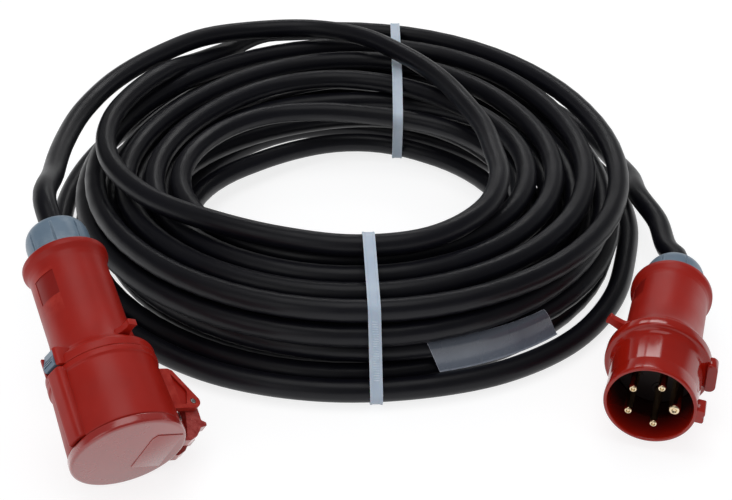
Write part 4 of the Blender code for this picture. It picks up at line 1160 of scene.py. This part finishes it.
@dataclass
class Plug(Fitting):
    """The plug: polished shroud and collar, five pins, grip and gland."""

    shroud_r: float = 27.6
    collar_r: float = 32.5
    pin_r: float = 2.5
    earth_pin_r: float = 3.5

    def build(self) -> list[bpy.types.Object]:
        """Make every piece of the plug and return them."""
        self.front()
        self.back()
        self.insert()
        outlines = {}
        for kind, radius, barrel in (("line", self.pin_r, 3.7), ("earth", self.earth_pin_r, 4.3)):
            tip = [(0, -1.9), (0.2, -1.9), (0.30, -1.75), (0.46, -0.95), (0.52, -0.8),
                   (0.60, -0.8), (0.80, -1.1), (0.93, -1.7), (1.0, -2.6)]
            outlines[kind] = [*((part * radius, z) for part, z in tip), (radius, -56.3),
                              (barrel, -56.3), (barrel, -72.0), (1.9, -72.0), (1.9, -63.0),
                              (0, -63.0)]
        self.contacts("plug_pin", outlines, -67.0)
        self.terminals("plug", -67.0)
        self.gland_nut()
        self.dress_inner_nodes("plug")
        return self.made

    def front(self) -> None:
        """Make the front housing: thin-walled shroud, stepped collar, key nose and ear."""
        joint = self.joint
        shell = Solid.turned([
            (26.4, 0), (27.3, -0.5), (self.shroud_r, -1.5), (27.25, -11.4), (27.2, -12.0),
            (27.22, -12.6), (27.7, -33.0), (28.1, -35.4), (28.9, -36.9), (30.2, -37.9),
            (31.7, -38.4), (self.collar_r, -39.4), (self.collar_r, -45.6), (31.9, joint + GAP),
            (24.0, joint + GAP), (24.0, -44.0), (25.4, -44.0), (25.2, -24.0), (25.1, -12.0),
            (25.0, -1.2), (25.6, 0)], 144, 0.5)
        nose = Solid.prism([(26.6, -4.4), (31.0, -4.4), (31.8, -3.6), (31.8, -1.3), (30.7, -0.9),
                            (30.7, 0.9), (31.8, 1.3), (31.8, 3.6), (31.0, 4.4), (26.6, 4.4)],
                           -12.0, -0.5, 0.7).bevelled(0.45)
        ear = Solid.prism([(29.5, -10.5), (33.6, -10.5), (35.8, -8.0), (35.8, 7.0), (33.6, 9.5),
                           (29.5, 9.5)], -45.0, -36.0, 1.6).bevelled(0.9).spun(5.0)
        # Painted shade: the shroud's inside, inward of 25.7 mm, is painted darker the deeper it
        # lies.
        shell.joined(nose, ear).with_painted_shade(lambda r, _, z: (r < 25.7) * (1.0 - z) / 26.0)
        self.add(shell, "plug_shroud", RED_GLOSSY, Body.LEAD, "plug_front_housing")

    def back(self) -> None:
        """Make the rear housing: stepped shoulder, grip with its sunk panel, lipped end and tab."""
        joint = self.joint
        shoulder = [(29.8, joint), (29.4, joint - 2.0), (27.4, joint - 4.2), (26.6, joint - 6.6),
                    (26.6, joint - 9.4), (25.9, joint - 10.0), (24.8, joint - 15.5)]
        grip = Solid.turned(self.rear_outline(shoulder, 24.1), 144, 0.6)
        place = (156.0, 16.0, self.rear + 12.0, self.rear + 29.0)
        grip.cut(self.panel(*place))
        grip.joined(self.tab(24.6, 38.5, joint - 12.6, joint - 8.4).spun(-23.0))
        # Painted shade: the sunk panel's floor is painted a darker red.
        grip.with_painted_shade(self.in_panel(*place))
        self.add(grip, "plug_grip", RED_BODY, Body.LEAD, "plug_rear_housing")

    def insert(self) -> None:
        """Make the contact carrier, with a raised seat round each pin."""
        carrier = Solid.turned([(0, -36.3), (24.9, -36.3), (24.9, -43.6), (23.6, -43.6),
                                (23.6, -56.0), (9.0, -56.0), (9.0, -70.0), (0, -70.0)], 96, 0.3)
        bores, seats = [], []
        for i, pole in enumerate(POLES):
            radius = self.earth_pin_r if pole == "earth" else self.pin_r
            seat = Solid.turned([(radius + 0.35, -36.4), (radius + 2.2, -36.4),
                                 (radius + 2.2, -35.4), (radius + 0.35, -35.4)], 40, 0.25)
            bores.append(Solid.rod(radius + 0.3, -60, -30).at_pole(i))
            seats.append(seat.at_pole(i))
        carrier.cut(*bores).joined(*seats)
        self.add(carrier, "plug_contact_carrier", DARK_INSERT, Body.LEAD, "plug_insert")


@dataclass
class Connector(Fitting):
    """The connector: lidded mouth, sockets, latch, grip and gland."""

    mouth_r: float = 33.2
    hinge_x: float = 43.8
    hinge_z: float = -18.5
    lid_r: float = 34.0
    lid_face: float = 6.2

    def build(self) -> list[bpy.types.Object]:
        """Make every piece of the connector and return them."""
        self.front()
        self.back()
        self.latch()
        self.insert()
        self.lid()
        self.hinge()
        outlines = {}
        for kind, hole, sleeve, barrel in (("line", 2.5, 3.9, 3.7), ("earth", 3.5, 4.9, 4.3)):
            outlines[kind] = [(0, -40.0), (hole + 0.1, -40.0), (hole + 0.1, -6.4), (sleeve, -6.4),
                              (sleeve, -52.4), (barrel, -52.4), (barrel, -68.0), (1.9, -68.0),
                              (1.9, -59.0), (0, -59.0)]
        self.contacts("socket_contact", outlines, -63.0)
        self.terminals("socket", -63.0)
        self.gland_nut()
        self.dress_inner_nodes("socket")
        dress("lid_gasket", SEAL_RUBBER)
        return self.made

    def _hinge_bore(self) -> Solid:
        """Make the tool that bores the hinge."""
        return Solid.rod(1.9, -20, 20).tipped(90, "X").shifted(self.hinge_x, 0, self.hinge_z)

    def front(self) -> None:
        """Make the front housing: mouth, keyway rib, joint ring and the lid's hinge ears."""
        joint = self.joint
        shell = Solid.turned([
            (32.4, 0), (self.mouth_r, -0.8), (33.0, -10.0), (31.9, -42.4), (32.3, -43.4),
            (32.9, -44.0), (32.9, joint + GAP), (26.4, joint + GAP), (26.4, -42.0), (29.2, -41.9),
            (30.0, -0.6), (30.4, 0)], 128, 0.5)
        rib = Solid.prism([(-30.6, 6.9), (-33.6, 6.6), (-35.6, 5.6), (-36.4, 3.8), (-36.4, -3.8),
                           (-35.6, -5.6), (-33.6, -6.6), (-30.6, -6.9)],
                          joint + GAP + 0.2, -0.4, 1.6)
        rib.bevelled(1.5, 5, 50.0).spun(RIB_TURN)
        eye = arc((self.hinge_x, self.hinge_z), 4.6, -22, 90, 16)
        ear = [(27.8, -42.0), (34.4, -42.0), (37.0, -40.5), *eye, (36.0, eye[-1][1]),
               (27.8, eye[-1][1])]
        ears = [Solid.side_prism(ear, low, low + 3.8, 0.8) for low in (11.2, -15.0)]
        shell.fused(rib, *ears)
        pocket = [(34.8, -38.6), (42.0, -25.6), (38.8, -16.6), (34.8, -16.6)]
        pockets = [Solid.side_prism(pocket, low, low + 2.6, 1.0) for low in (13.6, -16.2)]
        keyway = Solid.block((-33.6, -3.2, -38.0), (-28.3, 3.2, 2.0)).spun(RIB_TURN)
        shell.cut(self._hinge_bore(), *pockets, keyway)
        self.add(shell, "connector_mouth", RED_BODY, Body.LEAD, "connector_front_housing")

    def back(self) -> None:
        """Make the rear housing: joint ring, grip, flared end, tab and latch pocket."""
        joint = self.joint
        shoulder = [(32.7, joint), (32.7, joint - 5.0), (31.8, joint - 6.6), (28.4, joint - 9.0),
                    (26.0, joint - 12.5), (24.9, joint - 18.0)]
        grip = Solid.turned(self.rear_outline(shoulder, 26.4), 144, 0.7)
        lug = Solid.prism([(-24.0, 8.6), (-34.6, 8.0), (-36.0, 6.6), (-36.0, -6.6), (-34.6, -8.0),
                           (-24.0, -8.6)], joint - 11.5, joint - 0.1, 1.2).bevelled(0.5)
        grip.fused(lug.spun(RIB_TURN))
        place = (162.0, 19.0, self.rear + 17.0, self.rear + 34.5)
        grip.cut(Solid.block((-45.0, -5.3, joint - 14.0), (-28.0, 5.3, joint + 2.0)).spun(RIB_TURN),
                 self.panel(*place))
        grip.joined(self.tab(25.4, 37.5, joint - 14.2, joint - 10.4).spun(-100.0))
        # Painted shade: the sunk panel's floor is painted a darker red.
        grip.with_painted_shade(self.in_panel(*place))
        self.add(grip, "connector_grip", RED_BODY, Body.LEAD, "connector_rear_housing")

    def latch(self) -> None:
        """Make the press latch, with finger grooves."""
        joint = self.joint
        key = Solid.side_prism([(-30.4, joint - 0.9), (-30.4, joint - 13.2), (-33.6, joint - 13.2),
                                (-37.4, joint - 3.4), (-36.8, joint - 0.9)], -4.9, 4.9, 0.8)
        key.bevelled(0.5)
        grooves = [Solid.block((-40.0, -4.0, joint - z - 0.45), (-35.2, 4.0, joint - z + 0.45))
                   for z in (3.4, 5.2, 7.0)]
        key.cut(*grooves).spun(RIB_TURN)
        self.add(key, "latch_key", GREY_NUT, Body.LATCH, "connector_latch")

    def insert(self) -> None:
        """Make the socket carrier, with a bore and a lead-in for each pin."""
        carrier = Solid.turned([
            (0, -2.0), (24.6, -2.0), (25.2, -2.6), (25.2, -37.6), (28.9, -37.6), (28.9, -41.6),
            (26.0, -41.6), (26.0, -52.0), (9.0, -52.0), (9.0, -66.0), (0, -66.0)], 96, 0.4)
        bores = []
        for i, pole in enumerate(POLES):
            hole, sleeve = (3.9, 5.3) if pole == "earth" else (2.9, 4.3)
            bore = Solid.turned([(0, -60), (sleeve, -60), (sleeve, -6.0), (hole, -6.0),
                                 (hole, -2.9), (hole + 0.9, -1.9), (hole + 0.9, 2.0), (0, 2.0)],
                                32, 0.0)
            bores.append(bore.at_pole(i))
        carrier.cut(*bores)
        self.add(carrier, "socket_carrier", DARK_INSERT, Body.LEAD, "connector_insert")

    def lid(self) -> None:
        """Make the sprung lid: dished disc, raised bare panel, knuckled arms and finger lip."""
        face = self.lid_face
        disc = Solid.turned([
            (0, face), (32.4, face), (33.4, face - 0.4), (self.lid_r, face - 1.5),
            (self.lid_r, 0.4), (32.6, 0.4), (32.6, 2.2), (28.4, 2.2), (28.4, -2.5), (26.6, -2.5),
            (26.6, 2.2), (0, 2.2)], 128, 0.5)
        arm = [(27.0, 3.2), (27.0, 5.7), (36.0, 5.7), (41.0, 3.0), (45.6, -2.6), (50.0, -3.6),
               (50.4, -6.0), (47.6, -7.6), *arc((self.hinge_x, self.hinge_z), 4.4, 10, -190, 18),
               (38.0, -10.0), (35.8, -2.0), (34.2, 2.9)]
        arms = [Solid.side_prism(arm, low, low + 5.5, 0.6) for low in (5.2, -10.7)]
        disc.fused(*arms)
        panel = Solid.prism([(7.5, -14.3), (26.2, -14.3), (26.2, 19.0), (9.6, 19.0), (7.5, 15.0)],
                            4.0, face + 0.5).bevelled(0.28)
        disc.joined(panel).cut(self._hinge_bore())
        self.add(disc, "lid_disc", RED_LID, Body.LID, "connector_lid")

    def hinge(self) -> None:
        """Make the hinge pin, headed on the far side, and the torsion spring round it."""
        pin = Solid.turned([(0, -15.2), (1.5, -15.2), (1.5, 15.3), (2.6, 15.3), (2.6, 16.2),
                            (1.6, 16.9), (0, 16.9)], 40, 0.3)
        pin.tipped(90, "X").shifted(self.hinge_x, 0, self.hinge_z)
        self.add(pin, "hinge_pin", STEEL, Body.LEAD, "lid_hinge_pin")
        curls, per_curl, radius = 5, 40, 2.9
        points = [(self.hinge_x - 9.0, -3.4, self.hinge_z - radius)]
        for i in range(curls * per_curl + 1):
            a = math.tau * i / per_curl
            points.append((self.hinge_x + radius * math.sin(a), -3.4 + 6.6 * i / (curls * per_curl),
                           self.hinge_z - radius * math.cos(a)))
        points.append((self.hinge_x + 1.2, 3.2, self.hinge_z - radius))
        line = [self.frame @ (Vector(point) * MM) for point in points]
        self.made.append(wire("torsion_spring", line, 0.45, 3, STEEL, "lid_spring"))


# --- studio --------------------------------------------------------------------------------------
@dataclass
class Studio:
    """A white table in plain soft light, seen from the photograph's place."""

    eye: tuple[float, float, float] = (-0.00855, -0.62399, 0.5437)
    pitch: float = 34.35
    lens: float = 64.17
    floor_half: float = 7.0
    table: float = 0.74
    shown_glow: float = 0.80
    shown_matte: float = 0.30
    fill: Colour = (0.53, 0.54, 0.56)
    horizon: float = 0.95
    zenith: float = 0.13
    rise: float = 0.30

    def camera(self) -> None:
        """Place the camera and make it the scene's."""
        data = bpy.data.cameras.new("front_camera")
        data.lens = self.lens
        data.sensor_width = 36.0
        data.clip_start = 0.01
        made = place_object("front_camera", data)
        made.location = self.eye
        made.rotation_euler = (math.radians(90.0 - self.pitch), 0.0, 0.0)
        bpy.context.scene.camera = made

    def floor(self) -> None:
        """Make the white table, which keeps the lead's soft shadow."""
        material = bpy.data.materials.new("white_table")
        material.use_nodes = True
        tree = material.node_tree
        sheet = NodeSheet(tree)
        shader = tree.nodes["Principled BSDF"]
        shader.inputs["Base Color"].default_value = (*[self.table] * 3, 1.0)
        shader.inputs["Roughness"].default_value = 0.9
        shader.inputs["Specular IOR Level"].default_value = 0.0
        glow, matte = (sheet.add(kind, None, Color=(*[level] * 3, 1.0)) for kind, level in (
            ("ShaderNodeEmission", self.shown_glow), ("ShaderNodeBsdfDiffuse", self.shown_matte)))
        shown, pick = sheet.add("ShaderNodeAddShader"), sheet.add("ShaderNodeMixShader")
        path = sheet.add("ShaderNodeLightPath").outputs
        seen = sheet.maths("ADD", path["Is Camera Ray"], path["Is Glossy Ray"])
        seen = sheet.maths("ADD", seen, path["Is Transmission Ray"])
        for node, index, source in ((shown, 0, glow.outputs[0]), (shown, 1, matte.outputs[0]),
                                    (pick, 0, seen), (pick, 1, shader.outputs[0]),
                                    (pick, 2, shown.outputs[0]),
                                    (tree.nodes["Material Output"], 0, pick.outputs[0])):
            sheet.feed(node, index, source)
        bm = bmesh.new()
        bmesh.ops.create_grid(bm, x_segments=2, y_segments=2, size=self.floor_half)
        made = Solid(bm).placed("table")
        made.data.materials.append(material)
        made.location = (0.0, 0.0, -0.0002)

    def world(self) -> None:
        """Give the world a white background and an even fill."""
        world = bpy.data.worlds.new("studio")
        bpy.context.scene.world = world
        world.use_nodes = True
        sheet = NodeSheet(world.node_tree)
        back = world.node_tree.nodes["Background"]
        path = sheet.add("ShaderNodeLightPath").outputs
        shown = sheet.maths("ADD", path["Is Camera Ray"], path["Is Transmission Ray"])
        height = sheet.height_of(sheet.add("ShaderNodeTexCoord").outputs["Generated"])
        rise = sheet.spread(height, 0.0, self.rise, "SMOOTHSTEP", To_Min=self.horizon,
                            To_Max=self.zenith)
        fill = sheet.mix(path["Is Glossy Ray"], self.fill, rise)
        sheet.feed(back, "Color", sheet.mix(shown, fill, (1.0, 1.0, 1.0)))
        sheet.feed(back, "Strength", 1.0)

    @staticmethod
    def softbox(name: str, place: Sequence[float], aim: Sequence[float], size: tuple[float, float],
                watts: float, roll: float = 0.0) -> None:
        """Hang a rectangular soft light, point it and roll it about its axis."""
        data = bpy.data.lights.new(name, "AREA")
        data.shape = "RECTANGLE"
        data.size, data.size_y = size
        data.energy = watts
        made = place_object(name, data)
        made.location = place
        way = Vector(aim) - Vector(place)
        turn = way.to_track_quat("-Z", "Y") @ Quaternion((0.0, 0.0, 1.0), math.radians(roll))
        made.rotation_euler = turn.to_euler()

    def build(self) -> None:
        """Make the table, the world and the soft lights."""
        self.floor()
        self.world()
        plug = (0.16, -0.03, 0.06)
        self.softbox("window_left", (-0.19, 1.55, 0.84), plug, (0.36, 0.20), 0.7, -50.0)
        self.softbox("window_right", (0.32, 1.55, 1.23), plug, (0.76, 0.22), 2.6, -24.0)
        self.softbox("overhead", (-0.1, 0.1, 2.2), (0.0, 0.1, 0.0), (1.6, 1.4), 10.0)
        self.softbox("front_left", (-1.3, -1.5, 1.3), (0.0, 0.1, 0.0), (1.3, 1.3), 5.0)
        bpy.context.scene.view_settings.view_transform = "Standard"
        LOG.info("studio is set")


def main() -> None:
    """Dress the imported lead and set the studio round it."""
    logging.basicConfig(level=logging.INFO, format="%(message)s")
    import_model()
    studio = Studio()
    studio.camera()
    plug_frame = lying_frame(178.1, -252.8, 33.5, -17.1, 1.3, -3.5)
    connector_frame = lying_frame(-125.5, -286.6, 33.7, 24.0, -20.7, -25.3)
    cable = Cable(plug_frame, connector_frame)
    jacket = cable.build()
    plug = Plug(plug_frame, "plug", -46.9, -121.5, Body.PLUG_NUT, 122.0).build()
    Connector(connector_frame, "connector", -47.9, -133.0, Body.CONNECTOR_NUT, 125.0).build()
    front = Tie("front_tie", 13.0, -1, 90.0, cable, ladder=(20.0, 56.0), lean=-0.063).build()
    back = Tie("back_tie", 36.0, 1, 62.0, cable, head_outside=True).build()
    label = Label(cable).build()
    cable.declare()
    studio.build()


if __name__ == "__main__":
    main()
